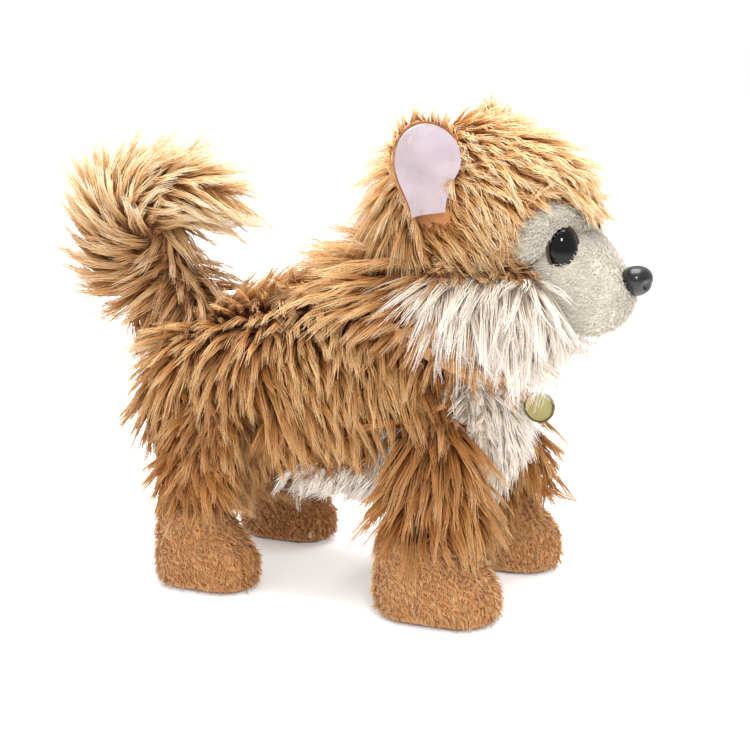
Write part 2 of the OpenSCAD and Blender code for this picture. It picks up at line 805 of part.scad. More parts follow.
module neck_post() {
    color("lightgray") neck_frame() difference() {
        union() {
            translate([0, 0, turret_top - 8]) cylinder(r = post_r - play, h = 10);
            translate([0, 0, turret_top + gap]) cylinder(r = flange_r, h = 3);
            translate([0, 0, turret_top + 2]) cylinder(r = post_r, h = fork_z[1] - turret_top - 2);
            block([-6, -fork_y[1], fork_z[0]], [6, fork_y[1], fork_z[1]]);
            for (s = [-1, 1]) on_side(s) {
                block([-6, fork_y[0], fork_z[0]], [6, fork_y[1], 0]);
                rod_along_y(0, 0, 6, fork_y[0], fork_y[1]);
            }
        }
        translate([0, 0, turret_top - 9]) cylinder(r = spline_r + play, h = 10);
        rod_along_y(0, 0, pin_r, -20, 20);
    }
}

module nod_pin() {
    color("silver") rod_along_y(neck_at[0], neck_at[2], pin_r, -fork_y[1] - 0.5, fork_y[1] + 0.5);
}

skull_boss_at = [[18, 14], [18, -13]];

// Hollow ball of the skull on one side of its joint plane: dir is 1 in front, -1 behind
module skull_shell(dir) {
    intersection() {
        difference() {
            union() {
                difference() {
                    sphere(r = skull_r);
                    sphere(r = skull_r - wall);
                }
                intersection() {
                    sphere(r = skull_r - 1);
                    for (p = skull_boss_at, s = [-1, 1]) translate([-10, s * p[0], p[1]])
                        rotate([0, 90, 0]) cylinder(r = 3, h = 19);
                }
            }
            for (p = skull_boss_at, s = [-1, 1]) translate([-big, s * p[0], p[1]])
                rotate([0, 90, 0]) {
                    cylinder(r = screw_head_r + 0.2, h = big - 8);
                    cylinder(r = screw_r, h = big + 6);
                }
        }
        block([dir > 0 ? 0 : -big, -big, -big], [dir > 0 ? big : 0, big, big]);
    }
}

module skull_front() {
    color("gainsboro") difference() {
        translate(skull_at) skull_shell(1);
        for (s = [-1, 1]) eye_frame(s) cylinder(r = 2, h = skull_r + 5);
    }
}

module skull_rear() {
    reach = skull_at - neck_at;
    color("silver") difference() {
        union() {
            translate(skull_at) skull_shell(-1);
            difference() {
                plate_xz(-8, 8) {
                    translate([neck_at[0], neck_at[2]]) circle(r = 6);
                    bar_2d([neck_at[0], neck_at[2]],
                        [neck_at[0] + reach[0] * 0.58, neck_at[2] + reach[2] * 0.58], 12);
                }
                translate(skull_at) sphere(r = skull_r - 1);
            }
        }
        rod_along_y(neck_at[0], neck_at[2], pin_r + play, -20, 20);
    }
}

module skull_screws() {
    color("silver") for (p = skull_boss_at, s = [-1, 1])
        translate(skull_at + [-8, s * p[0], p[1]]) rotate([0, 90, 0])
            screw(screw_r, 14, screw_head_r, 1.5);
}

head_balls = [
    [skull_at[0] - 12, 0, skull_at[2] - 2, head_r], [skull_at[0] + 6, 0, skull_at[2] - 4, head_r - 4]
];
ruff_balls = [
    [skull_at[0] - 12, 26, skull_at[2] - 40, ruff_r], [skull_at[0] + 18, 20, skull_at[2] - 42, ruff_r]
];
muzzle_balls = [
    [skull_at[0] + 34, 8, skull_at[2] - 27, muzzle_r], [skull_at[0] + 46, 5, skull_at[2] - 39, muzzle_r - 1]
];

// Everything that the padded head leaves free
module head_rooms() {
    translate(skull_at) sphere(r = skull_r);
    translate(neck_at) sphere(r = neck_ball_r + soft_gap);
    neck_frame() translate([0, 0, soft_gap - 120]) cylinder(r = 120, h = 120);
    plate_xz(-8.3, 8.3) bar_2d([neck_at[0], neck_at[2]], [skull_at[0], skull_at[2]], 12.6);
    for (p = skull_boss_at, s = [-1, 1]) translate(skull_at + [-30, s * p[0], p[1]])
        rotate([0, 90, 0]) cylinder(r = screw_head_r + 0.2, h = 20);
    for (s = [-1, 1]) eye_frame(s) {
        cylinder(r = 2, h = eye_out);
        translate([0, 0, eye_out]) sphere(r = eye_r);
    }
}

module head_plush() {
    color("peru") difference() {
        skin(head_balls);
        skin(ruff_balls);
        skin(muzzle_balls);
        head_rooms();
        for (s = [-1, 1]) ear_frame(s) linear_extrude(height = ear_t + 1) ear_2d(0);
    }
}

module cheek_ruff() {
    color("ivory") difference() {
        skin(ruff_balls);
        skin(muzzle_balls);
        head_rooms();
    }
}

module muzzle() {
    color("antiquewhite") difference() {
        skin(muzzle_balls);
        head_rooms();
        translate(nose_at) sphere(r = nose_r);
        nose_stem();
    }
}

// Rounded triangle of one ear, shrunk by inset all round
module ear_2d(inset) {
    low_r = ear_w / 3;
    tip_r = ear_w / 6;
    hull() {
        for (s = [-1, 1])
            translate([s * (ear_w / 2 - low_r), low_r - 4]) circle(r = low_r - inset, $fn = 32);
        translate([0, ear_h - tip_r - 4]) circle(r = tip_r - inset * 0.6, $fn = 32);
    }
}

// Places its children in an ear's own axes: Y along the ear, Z out of its open face
module ear_frame(side) {
    on_side(side) translate(ear_at) rotate([-ear_splay, 0, 0]) rotate([0, 0, 180 - ear_turn])
        rotate([90, 0, 0]) children();
}

module ear(side) {
    color("peru") ear_frame(side) linear_extrude(height = ear_t) ear_2d(0);
}

module ear_lining(side) {
    color("thistle") ear_frame(side) translate([0, 0, ear_t]) linear_extrude(height = 1) ear_2d(2.5);
}

module eyes() {
    color("black") for (s = [-1, 1]) eye_frame(s) {
        translate([0, 0, eye_out]) sphere(r = eye_r);
        translate([0, 0, skull_r - 5]) cylinder(r = 2, h = eye_out - skull_r + 5);
    }
}

// Peg and washer that hold the nose in the muzzle
module nose_stem() {
    translate(nose_at) rotate([0, -90, 0]) {
        cylinder(r = 1.6, h = nose_r + 6);
        translate([0, 0, nose_r + 4]) cylinder(r = 5, h = 1.2);
    }
}

module nose() {
    color("black") {
        translate(nose_at) sphere(r = nose_r);
        nose_stem();
    }
}

chassis_right();
chassis_left();
chassis_screws();
battery_cells();
battery_contacts();
motor();
gearbox_plate();
gear_axles();
speaker();
circuit_board();
switch_body();
tail_servo();
neck_servo();
torso_plush();
underside_plush();
collar();
collar_ring();
crankshaft();
crank_discs();
drive_gear();
middle_gear();
first_gear();
motor_pinion();
power_slider();
pat_button();
pat_spring();
battery_door();
door_screw();
leg_core(1, -1);  // leg_core_front_right
leg_core(1, 1);  // leg_core_front_left
leg_core(-1, -1);  // leg_core_rear_right
leg_core(-1, 1);  // leg_core_rear_left
leg_plush(1, -1);  // leg_plush_front_right
leg_plush(1, 1);  // leg_plush_front_left
leg_plush(-1, -1);  // leg_plush_rear_right
leg_plush(-1, 1);  // leg_plush_rear_left
paw(1, -1, front_paw_l, front_paw_w);  // paw_front_right
paw(1, 1, front_paw_l, front_paw_w);  // paw_front_left
paw(-1, -1, rear_paw_l, rear_paw_w);  // paw_rear_right
paw(-1, 1, rear_paw_l, rear_paw_w);  // paw_rear_left
link_rod(-1);  // link_rod_right
link_rod(1);  // link_rod_left
tail_arm();
tail_plush();
neck_post();
nod_pin();
skull_front();
skull_rear();
skull_screws();
head_plush();
muzzle();
cheek_ruff();
ear(-1);  // ear_right
ear(1);  // ear_left
ear_lining(-1);  // ear_lining_right
ear_lining(1);  // ear_lining_left
eyes();
nose();
tag();
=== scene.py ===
"""Looks of the walking plush dog: fur, velour, satin, glass eyes and the plastic inside."""

from __future__ import annotations

import json
import logging
import math
from dataclasses import dataclass, field
from enum import Enum
from typing import Callable, Iterable, Sequence

import bmesh
import bpy
import numpy as np
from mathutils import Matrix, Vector
from mathutils.bvhtree import BVHTree


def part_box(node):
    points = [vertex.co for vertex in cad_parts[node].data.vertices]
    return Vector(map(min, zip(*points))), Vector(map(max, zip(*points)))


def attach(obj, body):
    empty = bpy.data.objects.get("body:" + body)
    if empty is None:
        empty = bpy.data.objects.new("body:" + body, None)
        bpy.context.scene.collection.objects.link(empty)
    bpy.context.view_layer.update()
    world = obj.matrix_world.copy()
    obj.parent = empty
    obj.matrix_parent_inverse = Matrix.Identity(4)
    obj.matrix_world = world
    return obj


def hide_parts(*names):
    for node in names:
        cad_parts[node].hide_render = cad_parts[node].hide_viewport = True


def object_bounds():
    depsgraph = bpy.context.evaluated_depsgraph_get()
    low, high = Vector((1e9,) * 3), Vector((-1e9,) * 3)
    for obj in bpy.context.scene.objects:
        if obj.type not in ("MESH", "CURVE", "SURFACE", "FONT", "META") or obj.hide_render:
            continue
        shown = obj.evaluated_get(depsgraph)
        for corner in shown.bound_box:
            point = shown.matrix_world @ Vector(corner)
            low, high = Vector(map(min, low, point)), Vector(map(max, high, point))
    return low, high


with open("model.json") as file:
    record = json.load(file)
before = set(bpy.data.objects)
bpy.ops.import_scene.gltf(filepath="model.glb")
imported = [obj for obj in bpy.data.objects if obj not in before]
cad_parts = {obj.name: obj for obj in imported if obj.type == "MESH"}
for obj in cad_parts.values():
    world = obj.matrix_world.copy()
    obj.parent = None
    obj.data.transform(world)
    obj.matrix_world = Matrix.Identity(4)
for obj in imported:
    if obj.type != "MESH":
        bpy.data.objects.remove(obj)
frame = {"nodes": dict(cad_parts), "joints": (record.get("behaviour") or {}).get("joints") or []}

CAD_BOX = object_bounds()
MM = 0.001
PILE_UV = "OFBake"
CLOTH_STEPS = 20

Array = np.ndarray
Colour = tuple[float, float, float]
log = logging.getLogger("plush_dog")


# ---------------------------------------------------------------- small helpers


def unit(v: Array) -> Array:
    """Rows of v scaled to length 1."""
    return v / np.maximum(np.linalg.norm(v, axis=-1, keepdims=True), 1e-9)


def smooth(a: float, b: float, x: Array) -> Array:
    """Smooth step of x from 0 at a to 1 at b."""
    t = np.clip((x - a) / (b - a), 0.0, 1.0)
    return t * t * (3 - 2 * t)


def middle(node: str) -> Array:
    """Middle of a CAD node's box, in metres."""
    low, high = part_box(node)
    return (np.array(low) + np.array(high)) / 2


def joint_at(name: str) -> Array:
    """Pivot of a joint, in metres."""
    return np.array(next(j for j in frame["joints"] if j["name"] == name)["pos_m"])


def cad_points(*nodes: str) -> Array:
    """All corner points of the named CAD nodes, in metres."""
    out = []
    for name in nodes:
        mesh = frame["nodes"][name].data
        co = np.empty(len(mesh.vertices) * 3, np.float32)
        mesh.vertices.foreach_get("co", co)
        out.append(co.reshape(-1, 3))
    return np.concatenate(out)


def new_object(name: str, mesh: bpy.types.Mesh) -> bpy.types.Object:
    """A linked object that shows mesh, at the origin."""
    obj = bpy.data.objects.new(name, mesh)
    bpy.context.scene.collection.objects.link(obj)
    return obj


def mesh_from(name: str, points: Array, faces: Sequence[Sequence[int]]) -> bpy.types.Object:
    """An object with a smooth-shaded mesh of the given points and faces."""
    mesh = bpy.data.meshes.new(name)
    mesh.from_pydata([tuple(map(float, p)) for p in points], [], [tuple(f) for f in faces])
    mesh.polygons.foreach_set("use_smooth", [True] * len(mesh.polygons))
    mesh.update()
    return new_object(name, mesh)


def from_bmesh(name: str, bm: bmesh.types.BMesh) -> bpy.types.Object:
    """An object made of bm, with its faces outward and smooth."""
    bmesh.ops.recalc_face_normals(bm, faces=bm.faces)
    for face in bm.faces:
        face.smooth = True
    mesh = bpy.data.meshes.new(name)
    bm.to_mesh(mesh)
    bm.free()
    return new_object(name, mesh)


def points_of(mesh: bpy.types.Mesh) -> tuple[Array, Array]:
    """Points and normals of a mesh as arrays."""
    n = len(mesh.vertices)
    co, no = np.empty(n * 3, np.float32), np.empty(n * 3, np.float32)
    mesh.vertices.foreach_get("co", co)
    mesh.vertex_normals.foreach_get("vector", no)
    return co.reshape(-1, 3).astype(float), no.reshape(-1, 3).astype(float)


def move_points(obj: bpy.types.Object, points: Array) -> None:
    """Gives a mesh new places for its points."""
    obj.data.vertices.foreach_set("co", points.astype(np.float32).ravel())
    obj.data.update()


def apply_modifiers(obj: bpy.types.Object) -> None:
    """Turns a live object into its plain evaluated mesh."""
    graph = bpy.context.evaluated_depsgraph_get()
    done = bpy.data.meshes.new_from_object(obj.evaluated_get(graph), depsgraph=graph)
    obj.modifiers.clear()
    old = obj.data
    obj.data = done
    bpy.data.meshes.remove(old)


def store(obj: bpy.types.Object, name: str, values: Array) -> None:
    """Stores one number or vector per point as a named attribute."""
    kind, key = ("FLOAT_VECTOR", "vector") if values.ndim == 2 else ("FLOAT", "value")
    attribute = obj.data.attributes.new(name, kind, "POINT")
    attribute.data.foreach_set(key, values.astype(np.float32).ravel())


# ---------------------------------------------------------------- node trees


class Graph:
    """Short-hand for building a node tree."""

    def __init__(self, tree: bpy.types.NodeTree) -> None:
        """Starts on an empty tree."""
        self.tree = tree

    def feed(self, socket: bpy.types.NodeSocket, value: object) -> None:
        """Links value to a socket if it is a socket or node, or sets it."""
        if isinstance(value, bpy.types.Node):
            value = value.outputs[0]
        if isinstance(value, bpy.types.NodeSocket):
            self.tree.links.new(value, socket)
        else:
            socket.default_value = value

    def add(self, kind: str, inputs: dict | None = None, **settings: object) -> bpy.types.Node:
        """Adds a node.

        Args:
            kind: the node's type name.
            inputs: socket name or number, to the value or socket that feeds it.
            settings: the node's own properties.

        Returns:
            The new node.
        """
        node = self.tree.nodes.new(kind)
        for key, value in settings.items():
            setattr(node, key, value)
        for key, value in (inputs or {}).items():
            self.feed(node.inputs[key], value)
        return node

    def math(self, operation: str, *values: object, clamp: bool = False) -> bpy.types.NodeSocket:
        """Number out of a Math node."""
        node = self.add("ShaderNodeMath", dict(enumerate(values)), operation=operation)
        node.use_clamp = clamp
        return node.outputs[0]

    def vector(self, operation: str, *values: object, scale: object = None) -> bpy.types.NodeSocket:
        """Vector out of a Vector Math node."""
        node = self.add("ShaderNodeVectorMath", dict(enumerate(values)), operation=operation)
        if scale is not None:
            self.feed(node.inputs["Scale"], scale)
        return node.outputs[0]

    def attribute(self, name: str, vector: bool = False) -> bpy.types.NodeSocket:
        """Field of a named attribute in a geometry tree."""
        kind = "FLOAT_VECTOR" if vector else "FLOAT"
        return self.add("GeometryNodeInputNamedAttribute", {"Name": name}, data_type=kind).outputs[0]

    def keep(self, geometry: object, name: str, value: object, vector: bool = False) -> bpy.types.Node:
        """Stores a field on the points of a geometry."""
        kind = "FLOAT_VECTOR" if vector else "FLOAT"
        return self.add(
            "GeometryNodeStoreNamedAttribute",
            {"Geometry": geometry, "Name": name, "Value": value},
            data_type=kind,
            domain="POINT",
        )

    def random(self, low: object, high: object, seed: object, vector: bool = False) -> bpy.types.NodeSocket:
        """Random number or vector per element."""
        kind = "FLOAT_VECTOR" if vector else "FLOAT"
        node = self.add("FunctionNodeRandomValue", data_type=kind)
        first = 0 if vector else 2
        self.feed(node.inputs[first], low)
        self.feed(node.inputs[first + 1], high)
        self.feed(node.inputs["Seed"], seed)
        return node.outputs[0 if vector else 1]


def pile_tree() -> bpy.types.NodeTree:
    """Geometry tree that grows pile out of a skin: strands that gather into pointed locks.

    The skin's points carry comb (direction), stand (0 flat to 1 upright), pile_len (metres),
    pile_tone (0 dark to 1 light) and pile_share (0 bare to 1 full).
    """
    tree = bpy.data.node_groups.new("pile", "GeometryNodeTree")
    face = tree.interface
    face.new_socket("Skin", in_out="INPUT", socket_type="NodeSocketGeometry")
    for name, value in (
        ("Density", 4e5), ("Lock Spacing", 0.004), ("Strand Radius", 0.0004), ("Clump", 0.9),
        ("Fray", 0.0008), ("Wave", 0.001), ("Stray", 0.3), ("Tone Spread", 0.5),
    ):
        face.new_socket(name, in_out="INPUT", socket_type="NodeSocketFloat").default_value = value
    for name, value in (("Seed", 1), ("Points", 4)):
        face.new_socket(name, in_out="INPUT", socket_type="NodeSocketInt").default_value = value
    face.new_socket("Material", in_out="INPUT", socket_type="NodeSocketMaterial")
    face.new_socket("Pile", in_out="OUTPUT", socket_type="NodeSocketGeometry")

    g = Graph(tree)
    given = g.add("NodeGroupInput").outputs
    seed = given["Seed"]

    # One guide per lock
    locks = g.add(
        "GeometryNodeDistributePointsOnFaces",
        {"Mesh": given["Skin"], "Distance Min": given["Lock Spacing"], "Density Max": 1e6, "Seed": seed},
        distribute_method="POISSON",
    )
    up = locks.outputs["Normal"]
    kind = g.random(0.0, 1.0, g.math("ADD", seed, 11.0))
    odd = g.random((-1.0, -1.0, -1.0), (1.0, 1.0, 1.0), g.math("ADD", seed, 12.0), vector=True)
    comb = g.vector("NORMALIZE", g.vector(
        "ADD", g.attribute("comb", True), g.vector("SCALE", odd, scale=given["Stray"])))
    stand = g.add("ShaderNodeMix", {0: g.attribute("stand"), 4: comb, 5: up}, data_type="VECTOR")
    rise = g.vector("NORMALIZE", stand.outputs[1])
    half = g.math("MULTIPLY", g.attribute("pile_len"), g.math("MULTIPLY_ADD", kind, 0.26, 0.37))
    side = g.vector("NORMALIZE", g.vector("CROSS_PRODUCT", up, comb))
    geometry: object = locks.outputs["Points"]
    for name, value in (
        ("rise", g.vector("SCALE", rise, scale=half)),
        ("flow", g.vector("SCALE", comb, scale=half)),
        ("side", g.vector("SCALE", side, scale=given["Wave"])),
    ):
        geometry = g.keep(geometry, name, value, True)
    geometry = g.keep(geometry, "kind", kind)

    # Strands, each drawn to its nearest lock
    roots = g.add(
        "GeometryNodeDistributePointsOnFaces",
        {"Mesh": given["Skin"], "Seed": g.math("ADD", seed, 1.0),
         "Density": g.math("MULTIPLY", given["Density"], g.attribute("pile_share"))},
        distribute_method="RANDOM",
    )
    nearest = g.add("GeometryNodeSampleNearest", {"Geometry": geometry})

    def of_lock(value: object, vector: bool = True) -> bpy.types.NodeSocket:
        """Value of the nearest lock."""
        kind_of = "FLOAT_VECTOR" if vector else "FLOAT"
        node = g.add("GeometryNodeSampleIndex", data_type=kind_of, domain="POINT")
        for key, fed in (("Geometry", geometry), ("Value", value), ("Index", nearest.outputs[0])):
            g.feed(node.inputs[key], fed)
        return node.outputs[0]

    here = g.add("GeometryNodeInputPosition").outputs[0]
    lock_kind = of_lock(g.attribute("kind"), False)
    reach = g.random(0.72, 1.12, g.math("ADD", seed, 2.0))
    tone = g.math(
        "ADD", g.attribute("pile_tone"),
        g.math("MULTIPLY", given["Tone Spread"], g.math(
            "ADD", g.math("SUBTRACT", lock_kind, 0.5),
            g.random(-0.3, 0.3, g.math("ADD", seed, 3.0)))))
    strands: object = roots.outputs["Points"]
    for name, value in (
        ("root", here),
        ("pull", g.vector("SCALE", g.vector("SUBTRACT", of_lock(here), here), scale=given["Clump"])),
        ("rise", g.vector("SCALE", of_lock(g.attribute("rise", True)), scale=reach)),
        ("flow", g.vector("SCALE", of_lock(g.attribute("flow", True)), scale=reach)),
        ("side", of_lock(g.attribute("side", True))),
        ("fray", g.vector("SCALE", g.random(
            (-1.0, -1.0, -1.0), (1.0, 1.0, 1.0), g.math("ADD", seed, 4.0), vector=True),
            scale=given["Fray"])),
    ):
        strands = g.keep(strands, name, value, True)
    strands = g.keep(strands, "kind", lock_kind)
    strands = g.keep(strands, "tone", g.add("ShaderNodeClamp", {0: tone, 1: 0.02, 2: 0.97}))
    strands = g.keep(strands, "thick", g.random(0.75, 1.2, g.math("ADD", seed, 5.0)))

    line = g.add("GeometryNodeResampleCurve",
                 {"Curve": g.add("GeometryNodeCurvePrimitiveLine"), "Count": given["Points"]})
    rods = g.add("GeometryNodeRealizeInstances", {
        "Geometry": g.add("GeometryNodeInstanceOnPoints", {"Points": strands, "Instance": line})})
    along = g.add("GeometryNodeSplineParameter").outputs["Factor"]
    square = g.math("MULTIPLY", along, along)
    bow = g.math("SUBTRACT", g.math("MULTIPLY", along, 2.0), square)
    gather = g.math("MULTIPLY", along, g.math("SUBTRACT", 1.5, g.math("MULTIPLY", along, 0.5)))
    turn = g.math("MULTIPLY", g.math("ADD", along, g.attribute("kind")), 2 * math.pi)
    sway = g.math("MULTIPLY", g.math("SINE", turn), along)
    place = g.attribute("root", True)
    for name, share in (("rise", bow), ("flow", square), ("pull", gather), ("side", sway), ("fray", along)):
        place = g.vector("ADD", place, g.vector("SCALE", g.attribute(name, True), scale=share))
    rods = g.keep(rods, "along", along)
    rods = g.add("GeometryNodeSetPosition", {"Geometry": rods, "Position": place})
    taper = g.math("MULTIPLY", g.math("MULTIPLY_ADD", along, -0.82, 1.0), g.attribute("thick"))
    tube = g.add("GeometryNodeCurveToMesh", {
        "Curve": rods,
        "Profile Curve": g.add("GeometryNodeCurvePrimitiveCircle", {"Resolution": 3, "Radius": 1.0}),
        "Scale": g.math("MULTIPLY", taper, given["Strand Radius"]),
        "Fill Caps": True,
    })
    smoothed = g.add("GeometryNodeSetShadeSmooth", {"Geometry": tube})
    count = g.add("GeometryNodeInputIndex").outputs[0]
    across = g.math("MULTIPLY_ADD", g.math("MODULO", count, 3.0), 0.004, g.attribute("tone"))
    lengthwise = g.math("MULTIPLY_ADD", g.attribute("along"), 0.96, 0.02)
    place_uv = g.add("ShaderNodeCombineXYZ", {0: across, 1: lengthwise})
    mapped = g.add("GeometryNodeStoreNamedAttribute",
                   {"Geometry": smoothed, "Name": PILE_UV, "Value": place_uv},
                   data_type="FLOAT2", domain="CORNER")
    dressed = g.add("GeometryNodeSetMaterial", {"Geometry": mapped, "Material": given["Material"]})
    g.add("NodeGroupOutput", {0: g.add("GeometryNodeRealizeInstances", {"Geometry": dressed})})
    return tree


# ---------------------------------------------------------------- shader groups and finishes


def linear(colour: Colour) -> tuple[float, float, float, float]:
    """Screen colour from 0 to 255 as linear light, with alpha."""
    parts = [c / 255 for c in colour]
    return (*[p / 12.92 if p <= 0.04045 else ((p + 0.055) / 1.055) ** 2.4 for p in parts], 1.0)


def shader_group(name: str, inputs: dict[str, float],
                 outputs: Iterable[str]) -> tuple[bpy.types.NodeTree, Graph]:
    """An empty shader group with number inputs and number outputs."""
    tree = bpy.data.node_groups.new(name, "ShaderNodeTree")
    for key, value in inputs.items():
        tree.interface.new_socket(key, in_out="INPUT", socket_type="NodeSocketFloat").default_value = value
    for key in outputs:
        tree.interface.new_socket(key, in_out="OUTPUT", socket_type="NodeSocketFloat")
    return tree, Graph(tree)


def mottle_group() -> bpy.types.NodeTree:
    """Group: slow patches and fine grain over a surface, each from 0 to 1."""
    tree, g = shader_group("mottle", {"Patch Scale": 60.0, "Grain Scale": 900.0}, ("Patch", "Grain"))
    given = g.add("NodeGroupInput").outputs
    at = g.add("ShaderNodeTexCoord").outputs["Object"]
    patch = g.add("ShaderNodeTexNoise", {"Vector": at, "Scale": given["Patch Scale"], "Detail": 3.0})
    grain = g.add("ShaderNodeTexNoise", {"Vector": at, "Scale": given["Grain Scale"], "Detail": 2.0})
    g.add("NodeGroupOutput", {0: patch.outputs[0], 1: grain.outputs[0]})
    return tree


def wear_group() -> bpy.types.NodeTree:
    """Group: mask of rubbed edges, from 0 on flats to 1 on sharp outer edges."""
    tree, g = shader_group("edge_wear", {"Amount": 0.5}, ("Wear",))
    given = g.add("NodeGroupInput").outputs
    point = g.add("ShaderNodeNewGeometry").outputs["Pointiness"]
    edge = g.add("ShaderNodeMapRange", {"Value": point, 1: 0.52, 2: 0.62})
    g.add("NodeGroupOutput", {0: g.math("MULTIPLY", edge.outputs[0], given["Amount"])})
    return tree


class Groups:
    """The shader groups that several finishes share."""

    mottle: bpy.types.NodeTree
    wear: bpy.types.NodeTree

    @classmethod
    def build(cls) -> None:
        """Makes each group once."""
        cls.mottle = mottle_group()
        cls.wear = wear_group()


def start_material(name: str) -> tuple[bpy.types.Material, Graph, bpy.types.Node]:
    """A material with an empty tree, a Principled BSDF and an output."""
    material = bpy.data.materials.new(name)
    material.use_nodes = True
    material.node_tree.nodes.clear()
    g = Graph(material.node_tree)
    shader = g.add("ShaderNodeBsdfPrincipled")
    g.add("ShaderNodeOutputMaterial", {0: shader.outputs[0]})
    return material, g, shader


def mix_colour(g: Graph, share: object, low: object, high: object) -> bpy.types.NodeSocket:
    """Colour between low and high."""
    node = g.add("ShaderNodeMix", data_type="RGBA")
    for key, value in ((0, share), (6, low), (7, high)):
        g.feed(node.inputs[key], value)
    return node.outputs[2]


def ramp(g: Graph, value: object, stops: Sequence[tuple[float, Colour]]) -> bpy.types.NodeSocket:
    """Colour ramp over value, with stops of place and screen colour."""
    node = g.add("ShaderNodeValToRGB", {0: value})
    marks = node.color_ramp.elements
    while len(marks) < len(stops):
        marks.new(0.5)
    for mark, (place, colour) in zip(marks, stops):
        mark.position = place
        mark.color = linear(colour)
    return node.outputs[0]


@dataclass(frozen=True)
class PileFinish:
    """Dyed pile, from the root to the tip of each strand, in its darkest and lightest locks; where a coat's
    tone rises towards its top, the lighter locks there are painted light from above.
    """

    name: str
    dark: tuple[Colour, Colour, Colour]
    light: tuple[Colour, Colour, Colour]
    roughness: float = 0.55
    sheen: float = 0.06

    def material(self) -> bpy.types.Material:
        """Builds the material."""
        material, g, shader = start_material(self.name)
        uv = g.add("ShaderNodeSeparateXYZ", {0: g.add("ShaderNodeUVMap", uv_map=PILE_UV)})
        tone, along = uv.outputs[0], uv.outputs[1]
        low = ramp(g, along, list(zip((0.05, 0.5, 0.95), self.dark)))
        high = ramp(g, along, list(zip((0.05, 0.5, 0.95), self.light)))
        g.feed(shader.inputs["Base Color"], mix_colour(g, tone, low, high))
        shader.inputs["Roughness"].default_value = self.roughness
        shader.inputs["Specular IOR Level"].default_value = 0.12
        shader.inputs["Sheen Weight"].default_value = self.sheen
        shader.inputs["Sheen Roughness"].default_value = 0.4
        return material


@dataclass(frozen=True)
class ClothFinish:
    """Woven or short-pile cloth: two dyes that drift into each other, with a fine raised grain."""

    name: str
    dark: Colour
    light: Colour
    patch: float = 90.0
    grain: float = 1400.0
    relief: float = 0.0004
    roughness: float = 0.85
    sheen: float = 0.4
    low_dark: Colour | None = None
    low_z: float = 0.0

    def material(self) -> bpy.types.Material:
        """Builds the material."""
        material, g, shader = start_material(self.name)
        mottle = g.add("ShaderNodeGroup", node_tree=Groups.mottle)
        mottle.inputs["Patch Scale"].default_value = self.patch
        mottle.inputs["Grain Scale"].default_value = self.grain
        share = g.math("ADD", g.math("MULTIPLY", mottle.outputs[0], 0.55),
                       g.math("MULTIPLY", mottle.outputs[1], 0.45))
        spread = g.add("ShaderNodeMapRange", {"Value": share, 1: 0.32, 2: 0.68})
        colour = mix_colour(g, spread.outputs[0], linear(self.dark), linear(self.light))
        # Darker along the bottom: low_dark below low_z, blending into the cloth over the 1.2 mm above it.
        if self.low_dark is not None:
            at = g.add("ShaderNodeSeparateXYZ", {0: g.add("ShaderNodeTexCoord").outputs["Object"]})
            low = g.add("ShaderNodeMapRange", {
                "Value": at.outputs[2], 1: self.low_z, 2: self.low_z + 1.2 * MM})
            colour = mix_colour(g, low.outputs[0], linear(self.low_dark), colour)
        g.feed(shader.inputs["Base Color"], colour)
        bump = g.add("ShaderNodeBump", {
            "Height": mottle.outputs[1], "Distance": self.relief, "Strength": 0.7})
        g.feed(shader.inputs["Normal"], bump)
        shader.inputs["Roughness"].default_value = self.roughness
        shader.inputs["Sheen Weight"].default_value = self.sheen
        shader.inputs["Sheen Roughness"].default_value = 0.5
        return material


@dataclass(frozen=True)
class HardFinish:
    """Moulded plastic or metal: base colour, grain, rubbed edges and gloss."""

    name: str
    base: Colour
    worn: Colour
    metallic: float = 0.0
    roughness: float = 0.45
    spread: float = 0.12
    grain: float = 2500.0
    relief: float = 0.00003
    wear: float = 0.5
    coat: float = 0.0
    gloss: float = 0.5
    streaks: bool = False

    def material(self) -> bpy.types.Material:
        """Builds the material."""
        material, g, shader = start_material(self.name)
        mottle = g.add("ShaderNodeGroup", node_tree=Groups.mottle)
        mottle.inputs["Grain Scale"].default_value = self.grain
        wear = g.add("ShaderNodeGroup", node_tree=Groups.wear)
        wear.inputs["Amount"].default_value = self.wear
        worn = linear(self.worn)
        base = mix_colour(g, g.math("MULTIPLY", mottle.outputs[0], 0.25), linear(self.base), worn)
        g.feed(shader.inputs["Base Color"], mix_colour(g, wear.outputs[0], base, worn))
        height = mottle.outputs[1]
        if self.streaks:
            at = g.add("ShaderNodeTexCoord").outputs["Object"]
            drawn = g.add("ShaderNodeMapping", {"Vector": at, "Scale": (1.0, 1.0, 40.0)})
            streaks = g.add("ShaderNodeTexNoise", {"Vector": drawn, "Scale": 180.0, "Detail": 3.0})
            height = streaks.outputs[0]
        rough = g.math("ADD", g.math("MULTIPLY", height, self.spread), self.roughness - self.spread / 2)
        g.feed(shader.inputs["Roughness"], rough)
        g.feed(shader.inputs["Normal"], g.add(
            "ShaderNodeBump", {"Height": height, "Distance": self.relief, "Strength": 0.6}))
        shader.inputs["Metallic"].default_value = self.metallic
        shader.inputs["Specular IOR Level"].default_value = self.gloss
        shader.inputs["Coat Weight"].default_value = self.coat
        shader.inputs["Coat Roughness"].default_value = 0.08
        return material


